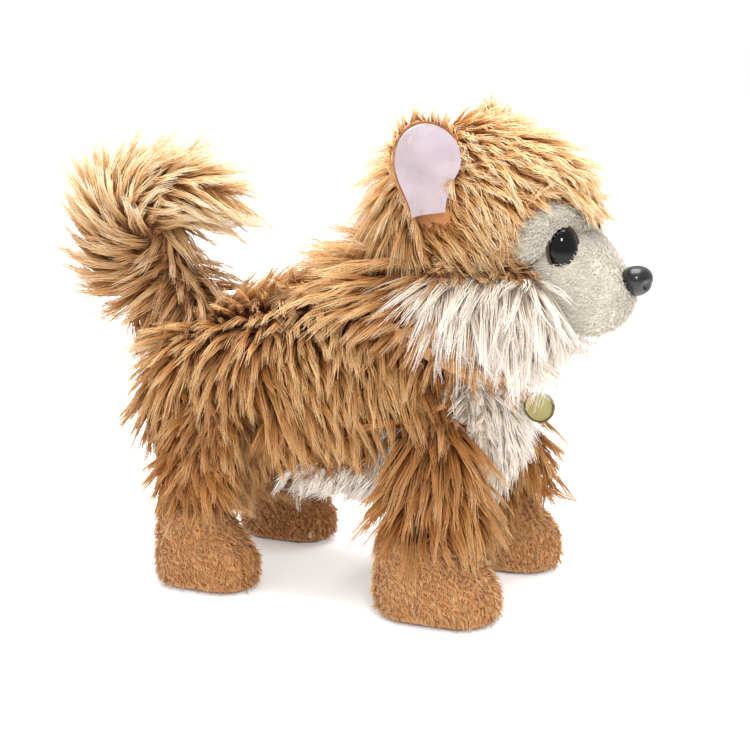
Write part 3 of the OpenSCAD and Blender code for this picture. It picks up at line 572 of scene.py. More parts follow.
TAN_PILE = PileFinish(
    "tan_pile",
    dark=((128, 72, 26), (166, 104, 48), (186, 126, 66)),
    light=((178, 116, 58), (216, 162, 98), (242, 210, 160)))
TAIL_PILE = PileFinish(
    "tail_pile",
    dark=((138, 80, 32), (178, 118, 60), (206, 152, 90)),
    light=((212, 158, 98), (246, 210, 156), (255, 244, 216)))
HEAD_PILE = PileFinish(
    "head_pile",
    dark=((140, 78, 26), (194, 130, 66), (222, 170, 104)),
    light=((200, 138, 74), (242, 198, 134), (255, 240, 206)))
WHITE_PILE = PileFinish(
    "white_pile",
    dark=((222, 202, 180), (238, 222, 204), (246, 236, 224)),
    light=((238, 224, 206), (248, 240, 229), (252, 247, 240)))
FACE_PILE = PileFinish(
    "face_pile",
    dark=((200, 191, 174), (210, 202, 187), (220, 213, 199)),
    light=((214, 207, 193), (226, 220, 208), (236, 231, 221)))
PAW_PILE = PileFinish(
    "paw_pile",
    dark=((150, 92, 44), (190, 130, 74), (214, 160, 104)),
    light=((200, 140, 84), (228, 178, 122), (246, 212, 164)), sheen=0.15)
TAN_BACKING = ClothFinish("tan_backing", (158, 100, 50), (192, 134, 76))
WHITE_BACKING = ClothFinish("white_backing", (222, 206, 188), (240, 230, 216))
FACE_CLOTH = ClothFinish("face_cloth", (190, 182, 166), (216, 209, 194), grain=2200.0)
PAW_CLOTH = ClothFinish("paw_cloth", (180, 122, 68), (212, 158, 102), grain=2000.0,
                        low_dark=(74, 52, 40), low_z=0.0012)
EAR_SATIN = ClothFinish("ear_satin", (158, 142, 150), (194, 180, 188), patch=55.0, grain=3200.0,
                        relief=0.00012, roughness=0.5, sheen=0.6)
RIBBON = ClothFinish("ribbon_weave", (168, 122, 70), (204, 160, 104), patch=120.0, grain=4200.0,
                     relief=0.00025, roughness=0.6)
EYE_GLOSS = HardFinish("eye_gloss", (6, 4, 4), (22, 14, 10), roughness=0.05, spread=0.02, relief=0.0,
                       wear=0.0, gloss=0.28)
EYE_RIM = HardFinish("eye_rim", (44, 26, 18), (80, 54, 38), roughness=0.4)
NOSE_GLOSS = HardFinish("nose_gloss", (18, 17, 18), (52, 50, 50), roughness=0.28, spread=0.16,
                        grain=1500.0, relief=0.00016, wear=0.25, coat=0.2, gloss=0.35)
THREAD = ClothFinish("sewing_thread", (96, 62, 36), (132, 90, 56), patch=300.0, grain=6000.0,
                     relief=0.00008)
TAG_METAL = HardFinish("tag_metal", (176, 168, 112), (206, 200, 150), metallic=0.85, roughness=0.34,
                       relief=0.00004, streaks=True)
TAG_RIM = HardFinish("tag_rim", (92, 86, 52), (140, 132, 84), metallic=0.8, roughness=0.4)

CAD_FINISHES = {
    "chassis_plastic": HardFinish("chassis_plastic", (62, 63, 66), (104, 106, 108), roughness=0.55),
    "frame_plastic": HardFinish("frame_plastic", (214, 213, 208), (236, 236, 232), roughness=0.45),
    "skull_plastic": HardFinish("skull_plastic", (204, 203, 198), (228, 228, 224), roughness=0.5),
    "steel": HardFinish("steel", (168, 170, 174), (214, 216, 220), metallic=1.0, roughness=0.3,
                        streaks=True),
    "brass": HardFinish("brass", (196, 164, 98), (230, 206, 150), metallic=1.0, roughness=0.32,
                        streaks=True),
    "cell_sleeve": HardFinish("cell_sleeve", (176, 128, 52), (214, 176, 96), roughness=0.3, coat=0.4),
    "board": HardFinish("board", (20, 96, 56), (62, 140, 92), roughness=0.4, grain=1200.0, coat=0.3),
    "black_plastic": HardFinish("black_plastic", (24, 24, 25), (62, 62, 64), roughness=0.5),
    "servo_case": HardFinish("servo_case", (20, 34, 84), (62, 80, 140), roughness=0.3, coat=0.3),
    "red_plastic": HardFinish("red_plastic", (176, 26, 24), (214, 76, 70), roughness=0.42),
}


class Finishes:
    """Materials made so far, one for each finish."""

    made: dict[str, bpy.types.Material] = {}

    @classmethod
    def of(cls, finish: PileFinish | ClothFinish | HardFinish) -> bpy.types.Material:
        """The material of a finish, built the first time it is asked for."""
        if finish.name not in cls.made:
            cls.made[finish.name] = finish.material()
        return cls.made[finish.name]


def dress(obj: bpy.types.Object, *finishes: PileFinish | ClothFinish | HardFinish) -> bpy.types.Object:
    """Gives an object its materials."""
    obj.data.materials.clear()
    for finish in finishes:
        obj.data.materials.append(Finishes.of(finish))
    return obj


# ---------------------------------------------------------------- padded forms and pile


def hull_of(points: Array) -> bmesh.types.BMesh:
    """The convex hull of points."""
    bm = bmesh.new()
    for p in points:
        bm.verts.new(p)
    bmesh.ops.convex_hull(bm, input=bm.verts)
    bmesh.ops.delete(bm, geom=[v for v in bm.verts if not v.link_faces], context="VERTS")
    return bm


def hull_form(name: str, points: Array, voxel: float = 4 * MM) -> bpy.types.Object:
    """A closed rounded form over points: their hull, remeshed into even quads and relaxed."""
    return remeshed(from_bmesh(name, hull_of(np.unique(np.round(points, 5), axis=0))), voxel)


def copied_form(name: str, node: str, extra: Array, voxel: float = 4 * MM) -> bpy.types.Object:
    """A closed rounded form over a copy of a CAD node, joined to the hull of some extra points."""
    bm = hull_of(extra)
    bm.from_mesh(frame["nodes"][node].data)
    bmesh.ops.remove_doubles(bm, verts=bm.verts, dist=0.01 * MM)
    return remeshed(from_bmesh(name, bm), voxel)


def ball_points(centre: Array, size: Sequence[float], turns: int, rows: int, reach: float) -> Array:
    """Points on an egg-shaped ball.

    Args:
        centre: its middle.
        size: its half sizes along x, y and z.
        turns: points round it.
        rows: rows of points across it.
        reach: how far towards its two poles the rows go, in radians.

    Returns:
        The points.
    """
    return np.array([
        centre + np.array(size) * (math.cos(t) * math.cos(a), math.sin(a), math.sin(t) * math.cos(a))
        for t in np.linspace(0, 2 * math.pi, turns, endpoint=False)
        for a in np.linspace(-reach, reach, rows)])


def in_open_air(skin: bpy.types.Object, room: float = 9 * MM) -> Array:
    """1 for each point of a skin with room in front of it, 0 inside its own pockets."""
    tree = BVHTree.FromObject(skin, bpy.context.evaluated_depsgraph_get())
    co, no = points_of(skin.data)
    return np.array([float(tree.ray_cast(Vector(p + n * MM), Vector(n), room)[0] is None)
                     for p, n in zip(co, no)])


def remeshed(obj: bpy.types.Object, voxel: float, rounds: int = 6) -> bpy.types.Object:
    """Remeshes an object into even quads and relaxes them."""
    remesh = obj.modifiers.new("even", "REMESH")
    remesh.mode = "VOXEL"
    remesh.voxel_size = voxel
    relax = obj.modifiers.new("relax", "SMOOTH")
    relax.factor = 0.5
    relax.iterations = rounds
    apply_modifiers(obj)
    obj.data.polygons.foreach_set("use_smooth", [True] * len(obj.data.polygons))
    return obj


def inflate(obj: bpy.types.Object, cap: float, pressure: float = 4.0) -> None:
    """Swells a padded form by cloth simulation, with no point moving further than cap."""
    start, _ = points_of(obj.data)
    cloth = obj.modifiers.new("padding", "CLOTH")
    cloth.settings.use_pressure = True
    cloth.settings.uniform_pressure_force = pressure
    cloth.settings.effector_weights.gravity = 0.0
    cloth.settings.quality = 4
    scene = bpy.context.scene
    for step in range(1, CLOTH_STEPS + 1):
        scene.frame_set(step)
    graph = bpy.context.evaluated_depsgraph_get()
    swollen, _ = points_of(obj.evaluated_get(graph).data)
    scene.frame_set(1)
    obj.modifiers.clear()
    move = swollen - start
    far = np.linalg.norm(move, axis=1, keepdims=True)
    move_points(obj, start + move * np.minimum(1.0, cap / np.maximum(far, 1e-9)))


def subdivide(obj: bpy.types.Object) -> None:
    """One subdivision of a finished form."""
    sub = obj.modifiers.new("finer", "SUBSURF")
    sub.levels = sub.render_levels = 1
    apply_modifiers(obj)


def inset(obj: bpy.types.Object, depth: Callable[[Array], Array]) -> None:
    """Moves a form's surface inward by depth(points)."""
    co, no = points_of(obj.data)
    move_points(obj, co - no * depth(co)[:, None])


@dataclass
class Pile:
    """How a stretch of pile grows on its skin.

    comb, length, stand, tone and share each take the skin's points and give one value per point.
    """

    comb: Callable[[Array], Array]
    length: Callable[[Array], Array]
    stand: Callable[[Array], Array]
    tone: Callable[[Array], Array]
    share: Callable[[Array], Array]
    density: float = 4e5
    spacing: float = 0.0040
    radius: float = 0.00034
    clump: float = 0.78
    fray: float = 0.0014
    wave: float = 0.0012
    stray: float = 0.24
    tone_spread: float = 0.5
    seed: int = 1
    points: int = 4
    outward: float = 0.18


class Grower:
    """Grows pile with the shared geometry tree."""

    KEPT = ("position", "material_index", PILE_UV)

    def __init__(self) -> None:
        """Builds the tree once, and counts the faces that it grows."""
        self.tree = pile_tree()
        self.sockets = {
            item.name: item.identifier
            for item in self.tree.interface.items_tree
            if item.item_type == "SOCKET" and item.in_out == "INPUT"
        }
        low, high = (np.array(v) for v in CAD_BOX)
        spare = 0.03 * (high - low) + 9 * MM
        self.room = ((low - spare) * (1, 1, 0) + (0, 0, 0.1 * MM), high + spare)
        self.total = 0

    def grow(self, name: str, skin: bpy.types.Object, pile: Pile, finish: PileFinish,
             body: str) -> None:
        """Grows one piece of pile as a plain mesh.

        Args:
            name: the new piece's name.
            skin: the form that it grows on, which stays as it is.
            pile: how it grows.
            finish: its dye.
            body: the moving body that it rides on.
        """
        obj = new_object(name, skin.data.copy())
        co, no = points_of(obj.data)
        guide = pile.comb(co)
        flat = guide - no * np.sum(guide * no, axis=1, keepdims=True)
        store(obj, "comb", unit(unit(flat) + no * pile.outward))
        for key, field_of in (("pile_len", pile.length), ("stand", pile.stand),
                              ("pile_tone", pile.tone), ("pile_share", pile.share)):
            store(obj, key, np.broadcast_to(field_of(co), (len(co),)).astype(float))
        grown = obj.modifiers.new("pile", "NODES")
        grown.node_group = self.tree
        for key, value in (
            ("Density", pile.density), ("Lock Spacing", pile.spacing), ("Strand Radius", pile.radius),
            ("Clump", pile.clump), ("Fray", pile.fray), ("Wave", pile.wave), ("Stray", pile.stray),
            ("Tone Spread", pile.tone_spread), ("Seed", pile.seed), ("Points", pile.points),
            ("Material", Finishes.of(finish)),
        ):
            grown[self.sockets[key]] = value
        apply_modifiers(obj)
        for extra in [a.name for a in obj.data.attributes if not a.is_internal and a.name not in self.KEPT]:
            if not extra.startswith(".") and not obj.data.attributes[extra].is_required:
                obj.data.attributes.remove(obj.data.attributes[extra])
        move_points(obj, np.clip(points_of(obj.data)[0], *self.room))
        faces = sum(len(p.vertices) - 2 for p in obj.data.polygons)
        self.total += faces
        log.info("%s: %d faces", name, faces)
        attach(obj, body)


# ---------------------------------------------------------------- fields over a skin


def drift(co: Array, size: float, seed: int) -> Array:
    """Slow random field over points, about -1 to 1, with patches of the given size in metres."""
    rng = np.random.default_rng(seed)
    total = np.zeros(len(co))
    for _ in range(7):
        way = unit(rng.normal(size=3)) * (2 * math.pi / size) * rng.uniform(0.5, 1.4)
        total += np.sin(co @ way + rng.uniform(0, 2 * math.pi))
    return np.clip(total / 3.6, -1.0, 1.0)


def near(co: Array, at: Sequence[float], reach: float, soft: float = 0.003) -> Array:
    """1 within reach of a point, falling to 0 over soft."""
    return 1 - smooth(reach, reach + soft, np.linalg.norm(co - np.array(at), axis=1))


def depth_in(skin: bpy.types.Object, co: Array) -> Array:
    """How deep each point is under a closed rounded skin: above 0 inside, below 0 outside."""
    tree = BVHTree.FromObject(skin, bpy.context.evaluated_depsgraph_get())
    centre = Vector(points_of(skin.data)[0].mean(axis=0))
    out = np.empty(len(co))
    for i, p in enumerate(co):
        hit, _, _, far = tree.find_nearest(Vector(p))
        out[i] = far if (hit - Vector(p)).dot(hit - centre) > 0 else -far
    return out


def ways(co: Array, x: object, y: object, z: object) -> Array:
    """One direction per point out of three numbers or arrays."""
    return np.stack([np.broadcast_to(v, len(co)).astype(float) for v in (x, y, z)], axis=1)


def side_of(co: Array, width: float = 0.02) -> Array:
    """-1 on the right side to 1 on the left, smooth over the middle."""
    return np.clip(co[:, 1] / width, -1.0, 1.0)


def soften(piece: bpy.types.Object, body: str, fill: float, *nodes: str) -> None:
    """Lets a stuffed piece ride on a body and hides the solids that it stands for."""
    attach(piece, body)
    if nodes:
        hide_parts(*nodes)


# ---------------------------------------------------------------- body


@dataclass
class Torso:
    """Stuffed body under long tan pile."""

    pile_depth: float = 8 * MM
    pile_length: float = 27 * MM
    well_from: float = 30 * MM
    well_y: float = 25 * MM
    well_top: float = 104 * MM
    skin: bpy.types.Object = field(init=False)
    neck_at: Array = field(init=False)
    neck_axis: Array = field(init=False)

    def __post_init__(self) -> None:
        """Finds the neck."""
        turn = next(j for j in frame["joints"] if j["name"] == "head_turn")
        self.neck_at, self.neck_axis = np.array(turn["pos_m"]), np.array(turn["axis"])

    def build_skin(self) -> None:
        """The stuffed form, drawn in at the four leg wells."""
        skin = hull_form("torso_backing", cad_points("torso_plush"))
        inset(skin, lambda co: self.pile_depth * (1 - 0.6 * self.neck(co)) * (
            1 - 0.6 * smooth(96 * MM, 76 * MM, co[:, 2])))
        self.draw_in(skin)
        inflate(skin, 2.5 * MM)
        self.draw_in(skin)
        subdivide(skin)
        self.skin = dress(skin, TAN_BACKING)
        soften(skin, "chassis", 0.8, "torso_plush")

    def draw_in(self, skin: bpy.types.Object) -> None:
        """Keeps the form clear of the legs, which swing beside it."""
        co, _ = points_of(skin.data)
        room = self.well_y + 40 * MM * smooth(self.well_top - 16 * MM, self.well_top, co[:, 2])
        wide = np.minimum(np.abs(co[:, 1]), room)
        share = smooth(self.well_from - 8 * MM, self.well_from + 4 * MM, np.abs(co[:, 0]))
        co[:, 1] = np.sign(co[:, 1]) * (np.abs(co[:, 1]) * (1 - share) + wide * share)
        move_points(skin, co)

    def comb(self, co: Array) -> Array:
        """Pile lies forward and down, and straight down behind."""
        rear = 1 - smooth(-95 * MM, -60 * MM, co[:, 0])
        top = smooth(120 * MM, 150 * MM, co[:, 2])
        sway = 0.22 * drift(co, 60 * MM, 5)
        front = smooth(36 * MM, 60 * MM, co[:, 0])
        body = ways(co, 0.42 - 0.5 * rear - 0.4 * front + sway,
                    side_of(co) * (0.28 + 0.5 * top), -0.9 + 0.15 * top)
        away = co - self.neck_at
        away = unit(away - (away @ self.neck_axis)[:, None] * self.neck_axis)
        share = self.neck(co)[:, None]
        return body * (1 - share) + (away - 0.5 * self.neck_axis) * share

    def neck(self, co: Array) -> Array:
        """1 on the neck above the collar, 0 on the body below it."""
        return smooth(-24 * MM, -12 * MM, (co - self.neck_at) @ self.neck_axis)

    def back(self, co: Array) -> Array:
        """How much further the pile stands up on the back, most of all in front of the tail."""
        rump = smooth(-30 * MM, -62 * MM, co[:, 0])
        return (0.24 + 0.16 * rump) * smooth(114 * MM, 136 * MM, co[:, 2])

    def stand(self, co: Array) -> Array:
        """Pile lies flat, a little higher on the back, and stands up above the collar to fall over it."""
        return 0.28 + 0.42 * self.neck(co) + self.back(co) * (1 - self.neck(co))

    def length(self, co: Array) -> Array:
        """Pile is longest on the neck."""
        belly = smooth(100 * MM, 76 * MM, co[:, 2]) * (1 - smooth(28 * MM, 46 * MM, np.abs(co[:, 0])))
        return self.pile_length * (1 + 0.12 * drift(co, 50 * MM, 6) + 0.2 * self.neck(co)
                                   + 0.5 * self.back(co) - 0.58 * belly
                                   - 0.25 * smooth(50 * MM, 66 * MM, co[:, 0]) * (1 - self.neck(co)))

    def tone(self, co: Array) -> Array:
        """Tone over the body: low on the flanks as painted shade, rising up the back as painted light from
        above, a little lighter towards the rump, and not raised on the nape.
        """
        # Painted light and shade: the pile gets lighter towards the top of the back, as if lit from above,
        # and stays dark on the shaded flanks.
        back = 0.55 * smooth(84 * MM, 138 * MM, co[:, 2]) + 0.16 * smooth(-30 * MM, -70 * MM, co[:, 0])
        nape = smooth(28 * MM, 46 * MM, co[:, 0])
        return 0.30 + 0.16 * drift(co, 45 * MM, 7) + back * (1 - nape)

    def build_pile(self, grower: Grower, white: bpy.types.Object) -> None:
        """Grows the coat in four pieces from rump to shoulder, leaving the white cloth bare.

        Args:
            grower: grows the pile.
            white: the white skin of the chest and belly.
        """
        edges = (-1.0, -62 * MM, -20 * MM, 24 * MM, 1.0)
        words = ("rump", "loin", "flank", "shoulder")
        for number, (low, high) in enumerate(zip(edges, edges[1:])):
            def share(co: Array, low: float = low, high: float = high) -> Array:
                """Full in this stretch, bare on the white cloth."""
                stretch = (co[:, 0] >= low) & (co[:, 0] < high)
                return stretch * (1 - smooth(-7 * MM, -3 * MM, depth_in(white, co)))

            pile = Pile(self.comb, self.length, self.stand, self.tone, share,
                        density=6.5e5, seed=21 + number)
            grower.grow(f"torso_coat_{words[number]}", self.skin, pile, TAN_PILE,
                        "chassis")


@dataclass
class Chest:
    """White chest and belly."""

    pile_depth: float = 2.5 * MM
    skin: bpy.types.Object = field(init=False)

    def build_skin(self) -> None:
        """The stuffed white form under the body."""
        skin = hull_form("chest_backing", cad_points("underside_plush"))
        inset(skin, lambda co: np.full(len(co), self.pile_depth))
        inflate(skin, 1.5 * MM)
        subdivide(skin)
        self.skin = dress(skin, WHITE_BACKING)
        soften(skin, "chassis", 0.7, "underside_plush")

    def build_pile(self, grower: Grower) -> None:
        """Short white pile that lies down and back under the belly."""
        pile = Pile(
            comb=lambda co: ways(co, -0.15 - 0.3 * (co[:, 2] < 70 * MM), side_of(co) * 0.2, -1.0),
            length=lambda co: np.full(len(co), 15 * MM),
            stand=lambda co: np.full(len(co), 0.38),
            tone=lambda co: 0.6 + 0.2 * drift(co, 40 * MM, 9),
            share=lambda co: np.ones(len(co)),
            density=4.4e5, radius=0.00042, seed=31, tone_spread=0.4, points=3)
        grower.grow("chest_pile", self.skin, pile, WHITE_PILE, "chassis")

@dataclass
class Tail:
    """Bushy tail, curled up and over."""

    pile_depth: float = 9 * MM
    pile_length: float = 27 * MM
    curl_x: float = -103 * MM
    curl_z: float = 166 * MM
    root_z: float = 130 * MM
    root_r: float = 12 * MM
    fill: tuple[float, float, float] = (12 * MM, 15 * MM, 12 * MM)
    skin: bpy.types.Object = field(init=False)

    def build(self, grower: Grower) -> None:
        """Builds the stuffed form and its coat."""
        pivot = joint_at("tail_wag")
        turns = np.linspace(0, 2 * math.pi, 20, endpoint=False)
        rings = [pivot + np.array([back + r * math.cos(t), r * math.sin(t), up])
                 for back, r, up in ((0.0, self.root_r, 8 * MM), (-28 * MM, 15 * MM, 24 * MM))
                 for t in turns]
        inner = ball_points(np.array((self.curl_x + 3 * MM, 0.0, self.curl_z - 13 * MM)),
                            self.fill, len(turns), 7, 1.4)
        skin = copied_form("tail_backing", "tail_plush", np.concatenate([rings, inner]))
        inset(skin, lambda co: self.pile_depth * (
            0.15 + 0.7 * smooth(122 * MM, 160 * MM, co[:, 2]) + 0.5 * smooth(188 * MM, 204 * MM, co[:, 2])))
        inflate(skin, 2 * MM)
        subdivide(skin)
        self.skin = dress(skin, TAN_BACKING)
        soften(skin, "tail", 0.8, "tail_plush")
        free = in_open_air(skin)
        for number in (0, 1):
            side = (-1, 1)[number]
            pile = Pile(
                comb=self.comb,
                length=lambda co: self.pile_length * (
                    1 + 0.1 * drift(co, 40 * MM, 12) + 0.1 * self.inner(co)),
                stand=lambda co: 0.44 - 0.14 * smooth(185 * MM, 197 * MM, co[:, 2]) + 0.12 * self.inner(co)
                - 0.12 * smooth(-132 * MM, -146 * MM, co[:, 0]),
                # Painted light: the pile gets lighter towards the top of the curl, as if lit from above.
                tone=lambda co: 0.4 + 0.18 * drift(co, 35 * MM, 13)
                + 0.62 * smooth(150 * MM, 188 * MM, co[:, 2]),
                share=lambda co, side=side: (co[:, 1] * side >= 0) * free,
                density=6.6e5, seed=41 + number, outward=0.3)
            grower.grow(f"tail_coat_{('right', 'left')[number]}", skin, pile, TAIL_PILE,
                        "tail")

    def inner(self, co: Array) -> Array:
        """1 on the inner side of the curl, over the back."""
        ahead = smooth(self.curl_x - 10 * MM, self.curl_x + 2 * MM, co[:, 0])
        return ahead * smooth(122 * MM, 132 * MM, co[:, 2]) * (1 - smooth(172 * MM, 188 * MM, co[:, 2]))

    def comb(self, co: Array) -> Array:
        """Pile follows the curl of the tail round its middle."""
        dx, dz = co[:, 0] - self.curl_x, co[:, 2] - self.curl_z
        around = unit(ways(co, dz, 0.0, -dx))
        curled = around + ways(co, 0.5 * dx / (30 * MM) + 0.5 * self.inner(co),
                               side_of(co) * 0.5, 0.5 * dz / (30 * MM))
        root = (1 - smooth(self.root_z - 6 * MM, self.root_z + 3 * MM, co[:, 2]))[:, None]
        return curled * (1 - root) + ways(co, -0.1, side_of(co) * 0.3, -1.0) * root


# ---------------------------------------------------------------- head


@dataclass
class Head:
    """Stuffed head: long pile over the crown and cheeks, short pale pile round the eyes."""

    pile_depth: float = 8 * MM
    face_depth: float = 3.5 * MM
    pile_length: float = 17 * MM
    patch: float = 19.0 * MM
    skin: bpy.types.Object = field(init=False)
    eye_at: Array = field(init=False)

    def __post_init__(self) -> None:
        """Finds the eyes."""
        low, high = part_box("eyes")
        ball = (high[2] - low[2]) / 2
        self.eye_at = np.array([high[0] - ball + 2 * MM, high[1] - ball, high[2] - ball])

    def face(self, co: Array) -> Array:
        """1 on the pale face, 0 under long pile."""
        eye = near(np.abs(co), self.eye_at, self.patch)
        bridge = near(co, self.eye_at * (1, 0, 1) + (12 * MM, 0, -4 * MM), 17 * MM)
        chin = near(co, self.eye_at * (1, 0, 1) + (8 * MM, 0, -24 * MM), 23 * MM)
        return np.maximum(np.maximum(eye, bridge), chin)

    def build_skin(self) -> None:
        """The stuffed form, less deep under the face."""
        skin = hull_form("head_backing", cad_points("head_plush"), voxel=0.0035)
        inset(skin, lambda co: self.pile_depth + (self.face_depth - self.pile_depth) * self.face(co))
        inflate(skin, 1.5 * MM)
        subdivide(skin)
        self.skin = dress(skin, TAN_BACKING, FACE_CLOTH)
        pale = self.face(points_of(skin.data)[0]) > 0.5
        for polygon in skin.data.polygons:
            polygon.material_index = int(pale[polygon.vertices[0]])
        soften(skin, "head", 0.9, "head_plush")

    def comb(self, co: Array) -> Array:
        """Pile lies forward and down, and down behind the ears."""
        back = 1 - smooth(30 * MM, 60 * MM, co[:, 0])
        cheek = 1 - smooth(165 * MM, 195 * MM, co[:, 2])
        sway = 0.3 * drift(co, 26 * MM, 15)
        lie = unit(ways(co, 0.75 - 1.0 * back + 0.1 * cheek, side_of(co) * 0.25,
                        -0.65 - 0.35 * back + sway))
        mirror = ways(co, 1.0, np.sign(co[:, 1]), 1.0)
        away = np.abs(co) - self.eye_at
        share = 0.75 * (1 - smooth(19 * MM, 34 * MM, np.linalg.norm(away, axis=1))) * (1 - self.brow(co))
        return lie * (1 - share[:, None]) + unit(away * (1.0, 0.4, 1.0)) * mirror * share[:, None]

    def under_ear(self, co: Array) -> Array:
        """1 where an ear stands on the head."""
        low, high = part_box("ear_left")
        mid = (np.array(low) + np.array(high)) / 2
        half = np.array([high[0] - low[0], high[1] - low[1]]) / 2
        far = np.linalg.norm((np.abs(co) - mid)[:, :2] / half, axis=1)
        return (1 - smooth(0.75, 0.95, far)) * (co[:, 2] > low[2] - 4 * MM)

    def brow(self, co: Array) -> Array:
        """1 on the middle of the brow, which overhangs the bridge of the nose."""
        return smooth(98 * MM, 108 * MM, co[:, 0]) * (1 - smooth(12 * MM, 22 * MM, np.abs(co[:, 1])))

    def length(self, co: Array) -> Array:
        """Pile is short over the eyes, long on the cheeks and the nape."""
        brow = smooth(18 * MM, 36 * MM, np.linalg.norm(np.abs(co) - self.eye_at, axis=1))
        brow = np.maximum(brow, 0.9 * self.brow(co))
        nape = 1 - smooth(32 * MM, 52 * MM, co[:, 0])
        return self.pile_length * (0.42 + 0.58 * brow) * (1 + 0.75 * nape)

    def build_pile(self, grower: Grower) -> None:
        """Grows the coat of the head, left and right, and the short pile of the face."""
        for number, side in enumerate((-1, 1)):
            pile = Pile(
                comb=self.comb, length=self.length,
                stand=lambda co: 0.30 + 0.2 * (1 - smooth(32 * MM, 52 * MM, co[:, 0])) + 0.22 * self.brow(co),
                # Painted light: the pile gets lighter towards the top of the head, as if lit from above.
                tone=lambda co: 0.40 + 0.18 * drift(co, 30 * MM, 16)
                + 0.5 * smooth(180 * MM, 215 * MM, co[:, 2]),
                share=lambda co, side=side: (co[:, 1] * side >= 0) * (1 - self.face(co))
                * (1 - self.under_ear(co)),
                density=6.6e5, spacing=0.0031, radius=0.00032, wave=0.0018, tone_spread=0.42,
                seed=51 + number)
            grower.grow(f"head_coat_{('right', 'left')[number]}", self.skin, pile, HEAD_PILE,
                        "head")
        fuzz = Pile(
            comb=lambda co: ways(co, -0.5, side_of(co, 0.01) * 0.5, -0.4),
            length=lambda co: np.full(len(co), 2.8 * MM),
            stand=lambda co: np.full(len(co), 0.5),
            tone=lambda co: 0.6 + 0.15 * drift(co, 20 * MM, 17),
            share=lambda co: self.face(co) * (1 - near(np.abs(co), self.eye_at, 8.0 * MM, 0.5 * MM)),
            density=2.6e6, spacing=0.0011, radius=0.00019, clump=0.5, fray=0.0004,
            wave=0.0002, stray=0.4, tone_spread=0.3, seed=55, points=2)
        grower.grow("face_pile", self.skin, fuzz, FACE_PILE, "head")


@dataclass
class Muzzle:
    """Short round muzzle of pale velour."""

    pile_depth: float = 1.6 * MM
    skin: bpy.types.Object = field(init=False)

    def build(self, grower: Grower, eye_at: Array) -> None:
        """Builds the stuffed form and its velour, bare under the eyes."""
        skin = hull_form("muzzle_backing", cad_points("muzzle"), voxel=0.0026)
        inset(skin, lambda co: np.full(len(co), self.pile_depth))
        inflate(skin, 1 * MM)
        subdivide(skin)
        self.skin = dress(skin, FACE_CLOTH)
        soften(skin, "head", 0.9, "muzzle")
        nose = middle("nose")
        pile = Pile(
            comb=lambda co: co - nose,
            length=lambda co: np.full(len(co), 2.6 * MM),
            stand=lambda co: np.full(len(co), 0.5),
            tone=lambda co: 0.5 + 0.2 * drift(co, 18 * MM, 18),
            share=lambda co: 1 - near(np.abs(co), eye_at, 8.0 * MM, 0.5 * MM),
            density=1.4e6, spacing=0.0011, radius=0.00021,
            clump=0.5, fray=0.0004, wave=0.0002, stray=0.4, tone_spread=0.3, seed=61, points=2)
        grower.grow("muzzle_pile", skin, pile, FACE_PILE, "head")


@dataclass
class Ruff:
    """White ruff under the cheeks."""

    pile_depth: float = 6 * MM
    pile_length: float = 30 * MM
    tuft_x: float = 96 * MM
    edge_z: float = field(init=False)
    edge_x: float = field(init=False)

    def __post_init__(self) -> None:
        """Puts the edges between white and tan under the eyes and behind the cheeks."""
        low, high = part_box("cheek_ruff")
        self.edge_z = high[2] - 12.5 * MM
        self.edge_x = low[0] + 13 * MM

    def white(self, co: Array) -> Array:
        """1 on the white ruff, 0 on the tan above and behind it."""
        low = 1 - smooth(self.edge_z, self.edge_z + 3 * MM, co[:, 2])
        return low * smooth(self.edge_x - 3 * MM, self.edge_x, co[:, 0])

    def build(self, grower: Grower, muzzle: bpy.types.Object) -> None:
        """Builds the stuffed band, its long white pile and the tan tufts over its top edge.

        Args:
            grower: grows the pile.
            muzzle: the muzzle's skin, which stays bare of ruff.
        """
        skin = hull_form("ruff_backing", cad_points("cheek_ruff"))
        inset(skin, lambda co: np.full(len(co), self.pile_depth))
        inflate(skin, 1.5 * MM)
        subdivide(skin)
        dress(skin, WHITE_BACKING, TAN_BACKING)
        tan = self.white(points_of(skin.data)[0]) < 0.5
        for polygon in skin.data.polygons:
            polygon.material_index = int(tan[polygon.vertices[0]])
        soften(skin, "head", 0.8, "cheek_ruff")
        pile = Pile(
            comb=lambda co: ways(co, 0.02 - 0.2 * (1 - smooth(42 * MM, 70 * MM, co[:, 0]))
                                 + 0.15 * drift(co, 26 * MM, 18), side_of(co) * 0.15, -0.95),
            length=lambda co: self.pile_length * (1 + 0.1 * drift(co, 30 * MM, 19)),
            stand=lambda co: np.full(len(co), 0.3),
            tone=lambda co: 0.62 + 0.2 * drift(co, 30 * MM, 20),
            share=lambda co: self.white(co) * (1 - smooth(-2 * MM, 1 * MM, depth_in(muzzle, co))),
            density=8.8e5, spacing=0.0029, radius=0.00036, clump=0.6, fray=0.0016, tone_spread=0.35,
            seed=65)
        grower.grow("ruff_pile", skin, pile, WHITE_PILE, "head")
        tufts = Pile(
            comb=lambda co: ways(co, 0.35 + 0.4 * drift(co, 22 * MM, 28), side_of(co) * 0.3, -0.8),
            length=lambda co: MM * (
                12 + 10 * (1 - smooth(self.edge_x - 4 * MM, self.edge_x + 4 * MM, co[:, 0]))),
            stand=lambda co: np.full(len(co), 0.34),
            tone=lambda co: 0.34 + 0.2 * drift(co, 25 * MM, 29),
            share=lambda co: (1 - self.white(co)) * (co[:, 0] < self.tuft_x),
            density=7.0e5, spacing=0.0036, radius=0.00034, wave=0.0016, seed=66)
        grower.grow("cheek_tufts", skin, tufts, HEAD_PILE, "head")


